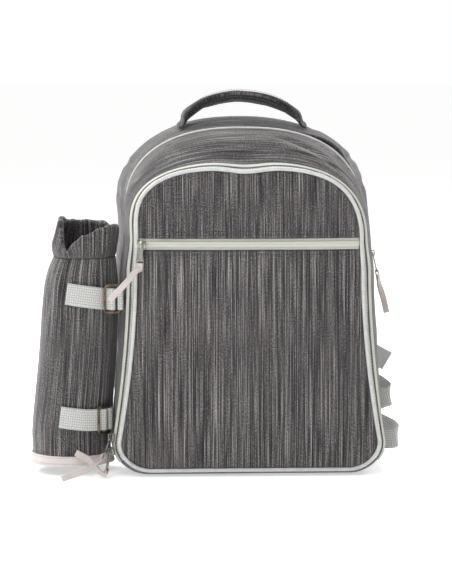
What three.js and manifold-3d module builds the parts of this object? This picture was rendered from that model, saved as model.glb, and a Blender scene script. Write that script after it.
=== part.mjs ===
// A picnic cooler backpack with a detachable bottle sleeve on its left side.
// Millimetres, +Z up. The front faces -Y and the wearer's back is at +Y. The origin is under the
// middle of the whole thing's box, on the ground.
import * as THREE from "three";
import Module from "manifold-3d";
import { mergeVertices } from "three/addons/utils/BufferGeometryUtils.js";

const wasm = await Module();
wasm.setup();

// Bag body
const BAG_WIDTH = 320; // across the base, at its widest
const BAG_HEIGHT = 412; // ground to the top of the back compartment
const BAG_DEPTH = 171; // front seam to back seam at the base
const CORNER_RADIUS = 36; // lower corners of the front panel
const SWAY = 4.2; // its arched top has sunk this far to the left
const CLOTH_WALL = 2.6; // padded cloth of the gussets and front
const FRONT_CROWN = 11; // how far the front panel bulges past its seam
const BACK_PAD = 7; // foam back panel
const BACK_CROWN = 5;
const GAP = 0.35; // between pieces that touch

// Piping and zips
const FRONT_PIPING = 4.4; // diameters
const MAIN_PIPING = 3.2;
const BACK_PIPING = 5;
const ZIP_TAPE = 1; // thickness
const ZIP_WIDTH = 15; // front zip, across both tapes
const COIL_WIDTH = 6;
const COIL_HEIGHT = 1.6;
const LOWER_PULL = 31; // heights of the front zip's sliders, parked together, and of the main one
const UPPER_PULL = 45;
const MAIN_PULL = 251;
const POCKET_PULL = 124; // left of the middle
const ZIP_END = 5; // points round the bag, from the middle of its base, where the front zip stops
const GROOVE = 2.4; // between the main piping and the back gusset
const GROOVE_GAPE = 8; // how much wider it stands open at the upper right
const GROOVE_RISE = 0.5; // its lip lifts by this share of the gape
const POCKET_ZIP_HEIGHT = 270; // middle of the pocket zip
const POCKET_ZIP_WIDTH = 13;
const SLIDER_LENGTH = 10;
const SLIDER_WIDTH = 7.5;
const SLIDER_BASE = 3;
const BRIDGE = 4; // height of the slider's bridge
const PULL_WIDTH = 7;
const PULL_THICKNESS = 1.2;
const RIBBON = 0.9; // thickness
const RIBBON_LENGTH = 58;

// Bottle sleeve
const SLEEVE_RADIUS = 47;
const SLEEVE_WALL = 3;
const SLEEVE_HEIGHT = 240; // hem to the underside of the collar
const SLEEVE_LIFT = 12; // hem above the ground
const FASTENED_AT = 23.5; // behind the front seam, where the bag's half of the fastening starts
const SLEEVE_BEHIND = 34.5; // the sleeve's axis, behind that
const COLLAR_HEIGHT = 46; // at its highest
const COLLAR_THICKNESS = 8;
const BINDING_HEIGHT = 11;
const BINDING_FLARE = 2.5;

// Webbing and metal rings
const WEBBING = 25; // width
const WEBBING_THICKNESS = 1.5;
const RING_WIRE = 2.8;
const RING_WIDTH = 21;
const RING_HEIGHT = 34;
const RING_UPPER = 206; // heights of the ring centres
const RING_LOWER = 65;

// Handle and shoulder straps
const HANDLE_WIDTH = 27;
const HANDLE_THICKNESS = 9;
const HANDLE_END = 3.4; // its thickness where it is sewn flat
const HANDLE_REACH = 76; // half its span
const HANDLE_RISE = 30; // above the top of the bag
const HANDLE_LEAN = 16; // degrees, backwards
const HANDLE_SHIFT = -4; // its middle is sewn a little to the left
const PAD_WIDTH = 60;
const PAD_THICKNESS = 9;
const PAD_BOW = 44; // how far it stands off the back
const BUCKLE_THICKNESS = 3.6;
const BUCKLE_BAR = 4;
const BUCKLE_LENGTH = 26;

const HALF = BAG_WIDTH / 2;
const MAIN_SEAM = 0.503; // share of the depth where the two compartments meet
const MAIN_SEAM_Y = 0;
const BACK_SEAM_Y = (1 - MAIN_SEAM) * BAG_DEPTH;

// Sections of the bag from front to back. depth and lean are shares of BAG_DEPTH, base, waist and
// shoulder of half the width, foot, waistAt, shoulderAt, top and dip of the height, and corner of
// CORNER_RADIUS. power rounds the arch.
const table = (columns, rows) =>
  rows.map((row) => Object.fromEntries(row.map((value, i) => [columns[i], value])));
const SECTIONS = table(
  [
    "depth", "lean", "base", "waist", "shoulder", "foot",
    "corner", "waistAt", "shoulderAt", "top", "power", "dip",
  ],
  [
    [0, 0.117, 0.938, 0.82, 0.81, 0.019, 1, 0.57, 0.657, 0.866, 3.1, 0.011],
    [0.1, 0.107, 0.982, 0.884, 0.852, 0.002, 1.1, 0.57, 0.68, 0.882, 2.6, 0.007],
    [0.298, 0.05, 1, 0.932, 0.892, -0.006, 1.2, 0.55, 0.71, 0.942, 2.4, 0],
    [MAIN_SEAM, 0, 1, 0.92, 0.866, 0.0045, 1.2, 0.55, 0.73, 0.972, 2.42, 0],
    [0.766, 0, 0.996, 0.966, 0.938, -0.006, 1.2, 0.55, 0.742, 1, 2.34, 0],
    [1, 0, 0.955, 0.926, 0.91, 0.01, 1.1, 0.55, 0.73, 0.993, 2.4, 0],
  ],
);
// Where each stretch of the half outline ends, as a share of the way from the base to the top.
const BASE_END = 0.12;
const CORNER_END = 0.27;
const SIDE_END = 0.58;
const ROUND_BAG = 48; // points round the bag
const SIDE_EASE = 1.8;
const DIP_WIDTH = 0.16; // of half the width
const SWAYED = [0.66, 0.82]; // shares of the height between which it leans over

// The sleeve from hem to neck. height is a share of SLEEVE_HEIGHT, radius of SLEEVE_RADIUS and
// room of the same radius: how far it stands off the side of the bag.
const SLEEVE_ROWS = [
  { height: 0, radius: 0.97, room: 0.03 },
  { height: 0.3, radius: 0.985, room: 0.032 },
  { height: 0.6, radius: 0.97, room: 0.025 },
  { height: 0.83, radius: 0.93, room: 0.04 },
  { height: 0.93, radius: 0.86, room: 0.09 },
  { height: 1, radius: 0.765, room: 0.17 },
];
// The collar round its rim, in turns from the front towards the bag. rim is a share of
// COLLAR_HEIGHT, mouth and belly are shares of SLEEVE_RADIUS.
const COLLAR_ROWS = [
  { turn: -0.05, rim: 0.37, mouth: 0.84, belly: 0.82 },
  { turn: 0, rim: 0.59, mouth: 0.8, belly: 0.84 },
  { turn: 0.12, rim: 0.82, mouth: 0.8, belly: 0.84 },
  { turn: 0.21, rim: 0.82, mouth: 0.78, belly: 0.82 },
  { turn: 0.28, rim: 0.72, mouth: 0.76, belly: 0.8 },
  { turn: 0.38, rim: 0.84, mouth: 0.7, belly: 0.78 },
  { turn: 0.5, rim: 0.88, mouth: 0.66, belly: 0.77 },
  { turn: 0.62, rim: 0.92, mouth: 0.6, belly: 0.77 },
  { turn: 0.73, rim: 1, mouth: 0.56, belly: 0.8 },
  { turn: 0.81, rim: 0.9, mouth: 0.6, belly: 0.83 },
  { turn: 0.86, rim: 0.6, mouth: 0.68, belly: 0.84 },
  { turn: 0.91, rim: 0.22, mouth: 0.8, belly: 0.84 },
];
// Shoulder pad from its seam down. across is a share of half the bag's width, up of its height,
// off of PAD_BOW and width of PAD_WIDTH.
const PAD_ROWS = [
  { across: 0.25, up: 0.935, off: 0.06, width: 1 },
  { across: 0.29, up: 0.88, off: 0.5, width: 1 },
  { across: 0.35, up: 0.79, off: 0.9, width: 1 },
  { across: 0.46, up: 0.68, off: 1, width: 1 },
  { across: 0.62, up: 0.57, off: 0.96, width: 0.96 },
  { across: 0.77, up: 0.46, off: 0.72, width: 0.9 },
  { across: 0.86, up: 0.37, off: 0.44, width: 0.8 },
];
// Right shoulder webbing from the buckle down to the lower corner. It has twisted into open loops
// beside the bag. across, up and off are shares of WEBBING, from the side of the back seam, the
// ground and the back panel's seam, and lie is the part of its width that stands upright.
const LOOSE_WEBBING = [
  { across: 0.08, up: 3.52, off: 0.84, lie: 0.75 },
  { across: 0.68, up: 3.12, off: 0.72, lie: 0.9 },
  { across: 1.12, up: 2.84, off: 0.4, lie: 1 },
  { across: 1.16, up: 2.72, off: 0.08, lie: 1 },
  { across: 0.76, up: 2.6, off: 0.04, lie: 1 },
  { across: 0.12, up: 2.32, off: 0.28, lie: 1 },
  { across: -0.36, up: 2, off: 0.52, lie: 0.9 },
  { across: -0.24, up: 1.68, off: 0.88, lie: 0.85 },
  { across: 0.48, up: 1.32, off: 0.84, lie: 0.9 },
  { across: 1.28, up: 0.96, off: 0.56, lie: 1 },
  { across: 1.56, up: 0.76, off: 0.2, lie: 1 },
  { across: 1.4, up: 0.64, off: -0.12, lie: 1 },
  { across: 0.8, up: 0.6, off: -0.04, lie: 1 },
];
const LEFT_WEBBING = [
  { across: -0.56, up: 3.84, off: 0.96, lie: 0.1 },
  { across: -0.52, up: 2.8, off: 0.8, lie: 0.08 },
  { across: -0.4, up: 1.76, off: 0.64, lie: 0.05 },
];

const V = (x, y, z) => new THREE.Vector3(x, y, z);
const UP = V(0, 0, 1);
const mix = THREE.MathUtils.lerp;
const radians = THREE.MathUtils.degToRad;

// Closed mesh from points and faces, with coincident points merged and collapsed faces dropped.
function closedMesh(points, faces) {
  const position = new Float32Array(points.length * 3);
  points.forEach((p, i) => p.toArray(position, i * 3));
  const geometry = new THREE.BufferGeometry();
  geometry.setAttribute("position", new THREE.BufferAttribute(position, 3));
  geometry.setIndex(faces.flat());
  const merged = mergeVertices(geometry, 1e-3);
  const index = [...merged.index.array];
  const kept = [];
  for (let i = 0; i < index.length; i += 3) {
    const [a, b, c] = index.slice(i, i + 3);
    if (a !== b && b !== c && c !== a) kept.push(a, b, c);
  }
  merged.setIndex(kept);
  if (volumeOf(merged) < 0) {
    merged.setIndex(kept.map((_, i) => kept[i - (i % 3) + [0, 2, 1][i % 3]]));
  }
  merged.computeVertexNormals();
  return merged;
}

// Sheet of cloth between two grids of points, [row][column], the second one under the first.
function sheet(outer, inner, closed) {
  const rows = outer.length;
  const columns = outer[0].length;
  const points = [...outer.flat(), ...inner.flat()];
  const top = (i, j) => i * columns + (j % columns);
  const under = (i, j) => rows * columns + top(i, j);
  const faces = [];
  const quad = (a, b, c, d) => faces.push([a, b, c], [a, c, d]);
  const last = closed ? columns : columns - 1;
  for (let j = 0; j < last; j++) {
    for (let i = 0; i < rows - 1; i++) {
      quad(top(i, j), top(i + 1, j), top(i + 1, j + 1), top(i, j + 1));
      quad(under(i, j), under(i, j + 1), under(i + 1, j + 1), under(i + 1, j));
    }
    quad(top(0, j), top(0, j + 1), under(0, j + 1), under(0, j));
    quad(top(rows - 1, j), under(rows - 1, j), under(rows - 1, j + 1), top(rows - 1, j + 1));
  }
  if (!closed) {
    for (let i = 0; i < rows - 1; i++) {
      quad(top(i, 0), under(i, 0), under(i + 1, 0), top(i + 1, 0));
      quad(top(i, last), top(i + 1, last), under(i + 1, last), under(i, last));
    }
  }
  return closedMesh(points, faces);
}

// Grid of points from a function of two shares.
function grid(rows, columns, closed, at) {
  const steps = closed ? columns : columns - 1;
  return Array.from({ length: rows }, (_, i) =>
    Array.from({ length: columns }, (_, j) => at(i / (rows - 1), j / steps)),
  );
}

// Solid swept along frames {p, side, out}: the profile's first number runs along side and its
// second along out, both in millimetres.
function sweep(frames, profile, closed = false) {
  const n = profile.length;
  const points = frames.flatMap((f) =>
    (f.profile ?? profile).map(([a, b]) =>
      f.p.clone().addScaledVector(f.side, a).addScaledVector(f.out, b),
    ),
  );
  const faces = [];
  const rings = closed ? frames.length : frames.length - 1;
  for (let i = 0; i < rings; i++) {
    const here = i * n;
    const next = ((i + 1) % frames.length) * n;
    for (let j = 0; j < n; j++) {
      const k = (j + 1) % n;
      faces.push([here + j, here + k, next + k], [here + j, next + k, next + j]);
    }
  }
  if (!closed) {
    const end = (frames.length - 1) * n;
    for (let j = 1; j < n - 1; j++) {
      faces.push([0, j + 1, j], [end, end + j, end + j + 1]);
    }
  }
  return closedMesh(points, faces);
}

function volumeOf(geometry) {
  const at = geometry.getAttribute("position");
  const corner = (i) => V().fromBufferAttribute(at, geometry.index.getX(i));
  let sum = 0;
  for (let i = 0; i < geometry.index.count; i += 3) {
    sum += corner(i).dot(corner(i + 1).cross(corner(i + 2)));
  }
  return sum / 6;
}

const circle = (diameter, sides) =>
  Array.from({ length: sides }, (_, i) => {
    const a = ((i + 0.5) / sides) * 2 * Math.PI;
    return [(diameter / 2) * Math.cos(a), (diameter / 2) * Math.sin(a)];
  });
const band = (width, thickness) => [
  [-width / 2, -thickness / 2],
  [width / 2, -thickness / 2],
  [width / 2, thickness / 2],
  [-width / 2, thickness / 2],
];
// Padded strap: flat faces with rounded edges.
const padSection = (width, thickness) => {
  const edge = thickness * 0.4;
  const [w, t] = [width / 2, thickness / 2];
  return [
    [-w + edge, -t],
    [w - edge, -t],
    [w, -t * 0.3],
    [w, t * 0.3],
    [w - edge, t],
    [-w + edge, t],
    [-w, t * 0.3],
    [-w, -t * 0.3],
  ];
};

// Frames along points. side is a direction, or one for each point, across the path.
function framesAlong(points, side, closed = false) {
  const n = points.length;
  return points.map((p, i) => {
    const before = points[closed ? (i + n - 1) % n : Math.max(i - 1, 0)];
    const after = points[closed ? (i + 1) % n : Math.min(i + 1, n - 1)];
    const along = after.clone().sub(before).normalize();
    const across = (Array.isArray(side) ? side[i] : side).clone();
    across.addScaledVector(along, -across.dot(along)).normalize();
    return { p, side: across, out: along.cross(across).normalize() };
  });
}

// Double band that comes from the end of a path, round a bar at its start, and back.
function hairpin(path, side, barDiameter, width, thickness) {
  const frames = framesAlong(path, side);
  const bar = barDiameter / 2 + GAP + thickness / 2;
  const closedUp = thickness / 2 + GAP / 2;
  const legs = (sign) =>
    frames.map((f, i) => {
      const away = Math.max(bar * [1, 0.7, 0][Math.min(i, 2)], closedUp);
      return f.p.clone().addScaledVector(f.out, sign * away);
    });
  const start = frames[0];
  const back = start.out.clone().cross(start.side).normalize();
  if (back.dot(path[1].clone().sub(path[0])) > 0) back.negate();
  const turn = [-60, -20, 20, 60].map((a) =>
    start.p
      .clone()
      .addScaledVector(start.out, bar * Math.sin(radians(a)))
      .addScaledVector(back, bar * Math.cos(radians(a))),
  );
  const line = [...legs(-1).reverse(), ...turn, ...legs(1)];
  const sides = Array.isArray(side) ? [...side].reverse().concat(turn.map(() => side[0]), side) : side;
  return sweep(framesAlong(line, sides), band(width, thickness));
}

// Smooth points through a few chosen ones.
const smooth = (points, steps) => new THREE.CatmullRomCurve3(points, false, "centripetal").getPoints(steps);

// Manifold solids, only to join and cut.
const solid = (geometry) => {
  const bare = new THREE.BufferGeometry();
  bare.setAttribute("position", geometry.getAttribute("position"));
  bare.setIndex(geometry.index);
  const merged = mergeVertices(bare, 1e-3);
  return new wasm.Manifold(
    new wasm.Mesh({
      numProp: 3,
      vertProperties: new Float32Array(merged.attributes.position.array),
      triVerts: new Uint32Array(merged.index.array),
    }),
  );
};
const geometryOf = (made) => {
  const { vertProperties, triVerts } = made.getMesh();
  const geometry = new THREE.BufferGeometry();
  geometry.setAttribute("position", new THREE.BufferAttribute(new Float32Array(vertProperties), 3));
  geometry.setIndex(new THREE.BufferAttribute(new Uint32Array(triVerts), 1));
  geometry.computeVertexNormals();
  return geometry;
};
const block = (width, depth, height, middle) =>
  new THREE.BoxGeometry(width, depth, height).translate(middle.x, middle.y, middle.z);

// Value of each column of a table at a place in it, smoothly through the rows.
function rowAt(rows, key, at) {
  const last = rows.length - 1;
  let i = rows.findIndex((r) => r[key] > at) - 1;
  if (i < 0) i = at <= rows[0][key] ? 0 : last - 1;
  const [a, b] = [rows[i], rows[i + 1]];
  const [before, after] = [rows[Math.max(i - 1, 0)], rows[Math.min(i + 2, last)]];
  const u = THREE.MathUtils.clamp((at - a[key]) / (b[key] - a[key]), 0, 1);
  const made = {};
  for (const column of Object.keys(a)) {
    const span = b[key] - a[key];
    const slopeA = ((b[column] - before[column]) / (b[key] - before[key])) * span;
    const slopeB = ((after[column] - a[column]) / (after[key] - a[key])) * span;
    const [u2, u3] = [u * u, u * u * u];
    made[column] =
      (2 * u3 - 3 * u2 + 1) * a[column] +
      (u3 - 2 * u2 + u) * slopeA +
      (3 * u2 - 2 * u3) * b[column] +
      (u3 - u2) * slopeB;
  }
  return made;
}

// Point of a section's outline, as seen from the front. turn runs once round it, anticlockwise
// from the middle of the base.
function outline(row, turn) {
  const whole = turn - Math.floor(turn);
  const right = whole <= 0.5;
  const q = right ? 2 * whole : 2 - 2 * whole;
  const base = row.base * HALF;
  const waist = row.waist * HALF;
  const shoulder = row.shoulder * HALF;
  const foot = Math.max(row.foot, 0) * BAG_HEIGHT;
  const corner = row.corner * CORNER_RADIUS;
  const waistZ = row.waistAt * BAG_HEIGHT;
  const shoulderZ = row.shoulderAt * BAG_HEIGHT;
  const topZ = row.top * BAG_HEIGHT;
  const sideAt = (z) => {
    if (z < waistZ) {
      const u = (z - foot - corner) / (waistZ - foot - corner);
      return waist + (base - waist) * Math.pow(1 - u, SIDE_EASE);
    }
    return mix(waist, shoulder, THREE.MathUtils.smoothstep(z, waistZ, shoulderZ));
  };
  let x;
  let z;
  if (q <= BASE_END) {
    x = (q / BASE_END) * (base - corner);
    z = foot;
  } else if (q <= CORNER_END) {
    const u = (q - BASE_END) / (CORNER_END - BASE_END);
    const slope = ((base - waist) * SIDE_EASE) / (waistZ - foot - corner);
    const pull = 0.55 * corner;
    const curve = new THREE.CubicBezierCurve(
      new THREE.Vector2(base - corner, foot),
      new THREE.Vector2(base - corner + pull, foot),
      new THREE.Vector2(base + slope * pull, foot + corner - pull),
      new THREE.Vector2(base, foot + corner),
    );
    const p = curve.getPoint(u);
    x = p.x;
    z = p.y;
  } else if (q <= SIDE_END) {
    z = mix(foot + corner, shoulderZ, (q - CORNER_END) / (SIDE_END - CORNER_END));
    x = sideAt(z);
  } else {
    const angle = ((q - SIDE_END) / (1 - SIDE_END)) * (Math.PI / 2);
    const round = 2 / row.power;
    x = shoulder * Math.pow(Math.max(Math.cos(angle), 0), round);
    z = shoulderZ + (topZ - shoulderZ) * Math.pow(Math.sin(angle), round);
    z -= row.dip * BAG_HEIGHT * Math.exp(-Math.pow(x / (DIP_WIDTH * HALF), 2));
  }
  const sway = SWAY * THREE.MathUtils.smoothstep(z / BAG_HEIGHT, ...SWAYED);
  return [(right ? x : -x) - sway, z];
}

// Point of the bag's cloth at a share of the depth and of the way round.
function bagPoint(depth, turn) {
  const row = rowAt(SECTIONS, "depth", THREE.MathUtils.clamp(depth, 0, 1));
  const [x, z] = outline(row, turn);
  const lean = row.lean * BAG_DEPTH * Math.pow(THREE.MathUtils.clamp(z / BAG_HEIGHT, 0, 1), 1.6);
  return V(x, (depth - MAIN_SEAM) * BAG_DEPTH + lean, z);
}
function bagNormal(depth, turn) {
  const [d, t] = [0.02, 0.006];
  const along = bagPoint(depth + d, turn).sub(bagPoint(depth - d, turn));
  const round = bagPoint(depth, turn + t).sub(bagPoint(depth, turn - t));
  return along.cross(round).normalize();
}
const onBag = (depth, turn, lift) => bagPoint(depth, turn).addScaledVector(bagNormal(depth, turn), lift);

// Share of the way round where the bag's right half reaches a height, or a distance across.
function turnWhere(depth, reached) {
  let [low, high] = [0, 0.5];
  for (let i = 0; i < 30; i++) {
    const middle = (low + high) / 2;
    if (reached(bagPoint(depth, middle))) high = middle;
    else low = middle;
  }
  return low;
}
const turnAtHeight = (depth, z) => turnWhere(depth, (p) => p.z > z);
const turnAtTopX = (depth, x) => turnWhere(depth, (p) => p.z > BAG_HEIGHT / 2 && p.x < x);

// Wall of the bag through a list of depths, each a number or a function of the turn. Its turns
// are counted in points round the bag, and lip lifts its first edge.
function bagWall(depths, lift, thickness, from = 0, to = ROUND_BAG, lip = () => 0) {
  const at = (d, turn) => (typeof d === "function" ? d(turn) : d);
  const closed = to - from === ROUND_BAG;
  const surface = (height) =>
    depths.map((d, i) =>
      Array.from({ length: to - from + (closed ? 0 : 1) }, (_, j) => {
        const turn = (from + j) / ROUND_BAG;
        return onBag(at(d, turn), turn, height + (i ? 0 : lip(turn)));
      }),
    );
  return sheet(surface(lift + thickness), surface(lift), closed);
}

const share = (mm) => mm / BAG_DEPTH;

// Cord laid round the bag at one depth.
function piping(depth, diameter, sides) {
  const turns = Array.from({ length: ROUND_BAG }, (_, i) => i / ROUND_BAG);
  const frames = turns.map((turn) => {
    const out = bagNormal(depth, turn);
    const along = bagPoint(depth, turn + 0.004).sub(bagPoint(depth, turn - 0.004)).normalize();
    return { p: bagPoint(depth, turn), side: along.cross(out).normalize(), out };
  });
  return sweep(frames, circle(diameter, sides), true);
}

// Panel that closes an end of the bag. crown is how far its middle stands out of the seam, and
// facing is -1 for the front and 1 for the back.
function endPanel(depth, inset, thickness, crown, facing, rings) {
  const middle = bagPoint(depth, 0).lerp(bagPoint(depth, 0.5), 0.5).setX(0);
  const edge = (turn) => {
    const along = bagPoint(depth, turn + 0.004).sub(bagPoint(depth, turn - 0.004));
    const inward = V(-along.z, 0, along.x).normalize();
    return bagPoint(depth, turn).addScaledVector(inward, inset);
  };
  const edges = Array.from({ length: ROUND_BAG }, (_, j) => edge(j / ROUND_BAG));
  const surface = (height) =>
    grid(rings, ROUND_BAG, true, (u, v) => {
      const p = edges[Math.round(v * ROUND_BAG)].clone().lerp(middle, u);
      const bulge = crown * (1 - Math.pow(1 - u, 2.2));
      return p.setY(seamY(depth, p.z) + facing * (bulge + height));
    });
  const [outer, inner] = [surface(thickness / 2), surface(-thickness / 2)];
  return sheet(outer, inner, true);
}
function seamY(depth, z) {
  const row = rowAt(SECTIONS, "depth", depth);
  const up = THREE.MathUtils.clamp(z / BAG_HEIGHT, 0, 1);
  return (depth - MAIN_SEAM) * BAG_DEPTH + row.lean * BAG_DEPTH * Math.pow(up, 1.6);
}

const CLOTH = new THREE.MeshStandardMaterial({ name: "charcoal_cloth", color: 0x4a4a4c, roughness: 0.9 });
const PALE = new THREE.MeshStandardMaterial({ name: "pale_trim", color: 0xc9cbc8, roughness: 0.6 });
const TAPE = new THREE.MeshStandardMaterial({ name: "zip_tape", color: 0xb4b6b0, roughness: 0.7 });
const DARK = new THREE.MeshStandardMaterial({ name: "dark_zip", color: 0x1b1b1d, roughness: 0.8 });
const STRAPPING = new THREE.MeshStandardMaterial({ name: "grey_webbing", color: 0xb9bab6, roughness: 0.8 });
const RIBBONS = new THREE.MeshStandardMaterial({ name: "cream_ribbon", color: 0xe2d9d3, roughness: 0.7 });
const BRONZE = { name: "bronzed_metal", color: 0x8c7a68, metalness: 1, roughness: 0.35 };
const METAL = new THREE.MeshStandardMaterial(BRONZE);
const NICKEL = { name: "slider_metal", color: 0xb9b9ae, metalness: 1, roughness: 0.4 };
const SILVER = new THREE.MeshStandardMaterial(NICKEL);
const PLASTIC = new THREE.MeshStandardMaterial({ name: "buckle_plastic", color: 0x8f908e, roughness: 0.5 });

const backpack = new THREE.Group();
function add(name, geometry, material, place) {
  const mesh = new THREE.Mesh(geometry, material);
  mesh.name = name;
  if (place) mesh.applyMatrix4(place);
  backpack.add(mesh);
  return mesh;
}

// Bag body: two compartments, each a gusset, closed by the front and back panels.
const FRONT_EDGE = share(FRONT_PIPING / 2 + GAP);
const ZIP_EDGES = [0, (ZIP_WIDTH - COIL_WIDTH) / 2, (ZIP_WIDTH + COIL_WIDTH) / 2, ZIP_WIDTH];
const ZIP_DEPTHS = ZIP_EDGES.map((mm) => FRONT_EDGE + share(mm));
const MAIN_BEFORE = MAIN_SEAM - share(MAIN_PIPING / 2 + GAP);
const gape = (turn) => Math.exp(-Math.pow((turn - 0.395) / 0.035, 2)) * GROOVE_GAPE;
const BASE_TURN = 0.07; // the groove is sewn shut under the bag
const groove = (turn) => {
  const fromBase = Math.min(turn, 1 - turn);
  const open = THREE.MathUtils.smoothstep(fromBase, BASE_TURN, BASE_TURN * 2);
  return MAIN_SEAM + share(MAIN_PIPING / 2 + GAP + GROOVE * open + gape(turn));
};
const BACK_EDGE = 1 - share(BACK_PIPING / 2 + GAP);
const FASTENING = share(FASTENED_AT);

function bagBody() {
  const frontDepths = [...ZIP_DEPTHS, 0.3, MAIN_BEFORE];
  add("front_gusset", bagWall(frontDepths, -CLOTH_WALL, CLOTH_WALL), CLOTH);
  const backDepths = [groove, 0.64, 0.77, 0.9, BACK_EDGE];
  const lip = (turn) => gape(turn) * GROOVE_RISE;
  add("back_gusset", bagWall(backDepths, -CLOTH_WALL, CLOTH_WALL, 0, ROUND_BAG, lip), CLOTH);
  add("front_piping", piping(0, FRONT_PIPING, 5), PALE);
  add("main_piping", piping(MAIN_SEAM, MAIN_PIPING, 4), PALE);
  add("back_piping", piping(1, BACK_PIPING, 5), PALE);
  add("back_panel", endPanel(1, BACK_INSET, BACK_PAD, BACK_CROWN, 1, 4), STRAPPING);
}

// The front panel is one shell, cut apart where the pocket zip lies.
const PANEL_INSET = FRONT_PIPING / 2 + GAP;
const BACK_INSET = BACK_PIPING / 2 + GAP;
function frontPanel() {
  const whole = solid(endPanel(0, PANEL_INSET, CLOTH_WALL, FRONT_CROWN, -1, 5));
  const tall = BAG_HEIGHT;
  const reach = POCKET_ZIP_WIDTH / 2 + GAP;
  const above = block(2 * BAG_WIDTH, 2 * BAG_DEPTH, tall, V(0, 0, POCKET_ZIP_HEIGHT + reach + tall / 2));
  const below = block(2 * BAG_WIDTH, 2 * BAG_DEPTH, tall, V(0, 0, POCKET_ZIP_HEIGHT - reach - tall / 2));
  add("front_panel_upper", geometryOf(whole.intersect(solid(above))), CLOTH);
  add("front_panel_pocket", geometryOf(whole.intersect(solid(below))), CLOTH);
}

// Outer face of the front or back panel at a place as seen from the front, for what lies on it.
function panelFace(x, z, depth, inset, bulge) {
  const middle = bagPoint(depth, 0).lerp(bagPoint(depth, 0.5), 0.5).setX(0);
  const angle = Math.atan2(z - middle.z, Math.abs(x));
  const rim = bagPoint(depth, turnWhere(depth, (p) => Math.atan2(p.z - middle.z, p.x) > angle));
  const reach = Math.hypot(rim.x, rim.z - middle.z) - inset;
  const r = Math.min(Math.hypot(x, z - middle.z) / reach, 1);
  return seamY(depth, z) + bulge * (1 - Math.pow(r, 2.2));
}
const onPanel = (x, z, lift) =>
  V(x, panelFace(x, z, 0, PANEL_INSET, -FRONT_CROWN) - CLOTH_WALL / 2 - lift, z);
const onBack = (x, z, lift) => V(x, panelFace(x, z, 1, BACK_INSET, BACK_CROWN) + BACK_PAD / 2 + lift, z);
const panelHalfWidth = (z) => bagPoint(0, turnAtHeight(0, z)).x - PANEL_INSET;

// Zips
function pocketZip() {
  const half = panelHalfWidth(POCKET_ZIP_HEIGHT) - GAP;
  const steps = 13;
  const strip = (width, low, high) => {
    const side = (lift) =>
      grid(2, steps, false, (u, v) =>
        onPanel(mix(-half, half, v), POCKET_ZIP_HEIGHT + mix(-width / 2, width / 2, u), lift),
      );
    return sheet(side(low), side(high), false);
  };
  add("pocket_zip_tape", strip(POCKET_ZIP_WIDTH, -CLOTH_WALL / 2 - ZIP_TAPE, -CLOTH_WALL / 2), TAPE);
  const coilFrom = -CLOTH_WALL / 2 + GAP;
  add("pocket_zip_coil", strip(COIL_WIDTH, coilFrom, coilFrom + COIL_HEIGHT), PALE);
}

const ZIP_LIFT = GAP + ZIP_TAPE;
function bagZips() {
  const end = ROUND_BAG - ZIP_END;
  add("front_zip_tape", bagWall(ZIP_DEPTHS, GAP, ZIP_TAPE, ZIP_END, end), TAPE);
  const coil = bagWall(ZIP_DEPTHS.slice(1, 3), ZIP_LIFT + GAP, COIL_HEIGHT, ZIP_END, end);
  add("front_zip_coil", coil, PALE);
  const past = share(4);
  const behind = (turn) => groove(turn) + past;
  const under = -CLOTH_WALL - 3 * GAP - ZIP_TAPE;
  add("main_zip_tape", bagWall([MAIN_BEFORE - past, behind], under, ZIP_TAPE), DARK);
}

// Slider: a body that rides the coil, with a bridge over it that holds the pull. The zip runs
// along X and the coil's top is at z = 0. The bridge is turned to the way the pull hangs.
function sliderGeometry(turned) {
  const base = block(SLIDER_LENGTH, SLIDER_WIDTH, SLIDER_BASE, V(0, 0, GAP + SLIDER_BASE / 2));
  const wall = 1.1;
  const half = SLIDER_LENGTH * 0.4;
  const arch = [
    [-half, -0.4],
    [-half, BRIDGE * 0.7],
    [-half * 0.5, BRIDGE],
    [half * 0.5, BRIDGE],
    [half, BRIDGE * 0.7],
    [half, -0.4],
    [half - wall, -0.4],
    [half - wall, BRIDGE * 0.6],
    [half * 0.45, BRIDGE - wall],
    [-half * 0.45, BRIDGE - wall],
    [-half + wall, BRIDGE * 0.6],
    [-half + wall, -0.4],
  ];
  const shape = new THREE.Shape(arch.map(([x, y]) => new THREE.Vector2(x, y)));
  const wide = 2.2;
  const bridge = new THREE.ExtrudeGeometry(shape, { depth: wide, bevelEnabled: false })
    .translate(0, 0, -wide / 2)
    .rotateX(Math.PI / 2)
    .rotateZ(turned)
    .translate(0, 0, GAP + SLIDER_BASE);
  return geometryOf(solid(base).add(solid(bridge)));
}
const EYE_HEIGHT = GAP + SLIDER_BASE + (BRIDGE - 1.1) / 2; // middle of the bridge's window

// Pull: a tapered plate with an eye at its top and a slot for the ribbon at its foot. It hangs
// along -Y from the middle of the bar above its eye and lies flat in the XY plane.
const EYE_BAR = 1.3;
const SLOT = 3.4;
function pullGeometry(length) {
  const top = PULL_WIDTH * 0.42;
  const foot = PULL_WIDTH / 2 + 1.2;
  const edge = [
    [-top, EYE_BAR / 2],
    [-top, -length * 0.45],
    [-foot, -length * 0.75],
    [-foot, -length],
    [foot, -length],
    [foot, -length * 0.75],
    [top, -length * 0.45],
    [top, EYE_BAR / 2],
  ];
  const shape = new THREE.Shape(edge.map(([x, y]) => new THREE.Vector2(x, y)));
  const slotTop = -length + EYE_BAR + SLOT;
  shape.holes.push(
    rectangle(-top + 1.3, -EYE_BAR / 2 - 4, top - 1.3, -EYE_BAR / 2),
    rectangle(-foot + 0.9, -length + EYE_BAR, foot - 0.9, slotTop),
  );
  const plate = new THREE.ExtrudeGeometry(shape, { depth: PULL_THICKNESS, bevelEnabled: false });
  return plate.translate(0, 0, -PULL_THICKNESS / 2);
}
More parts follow.
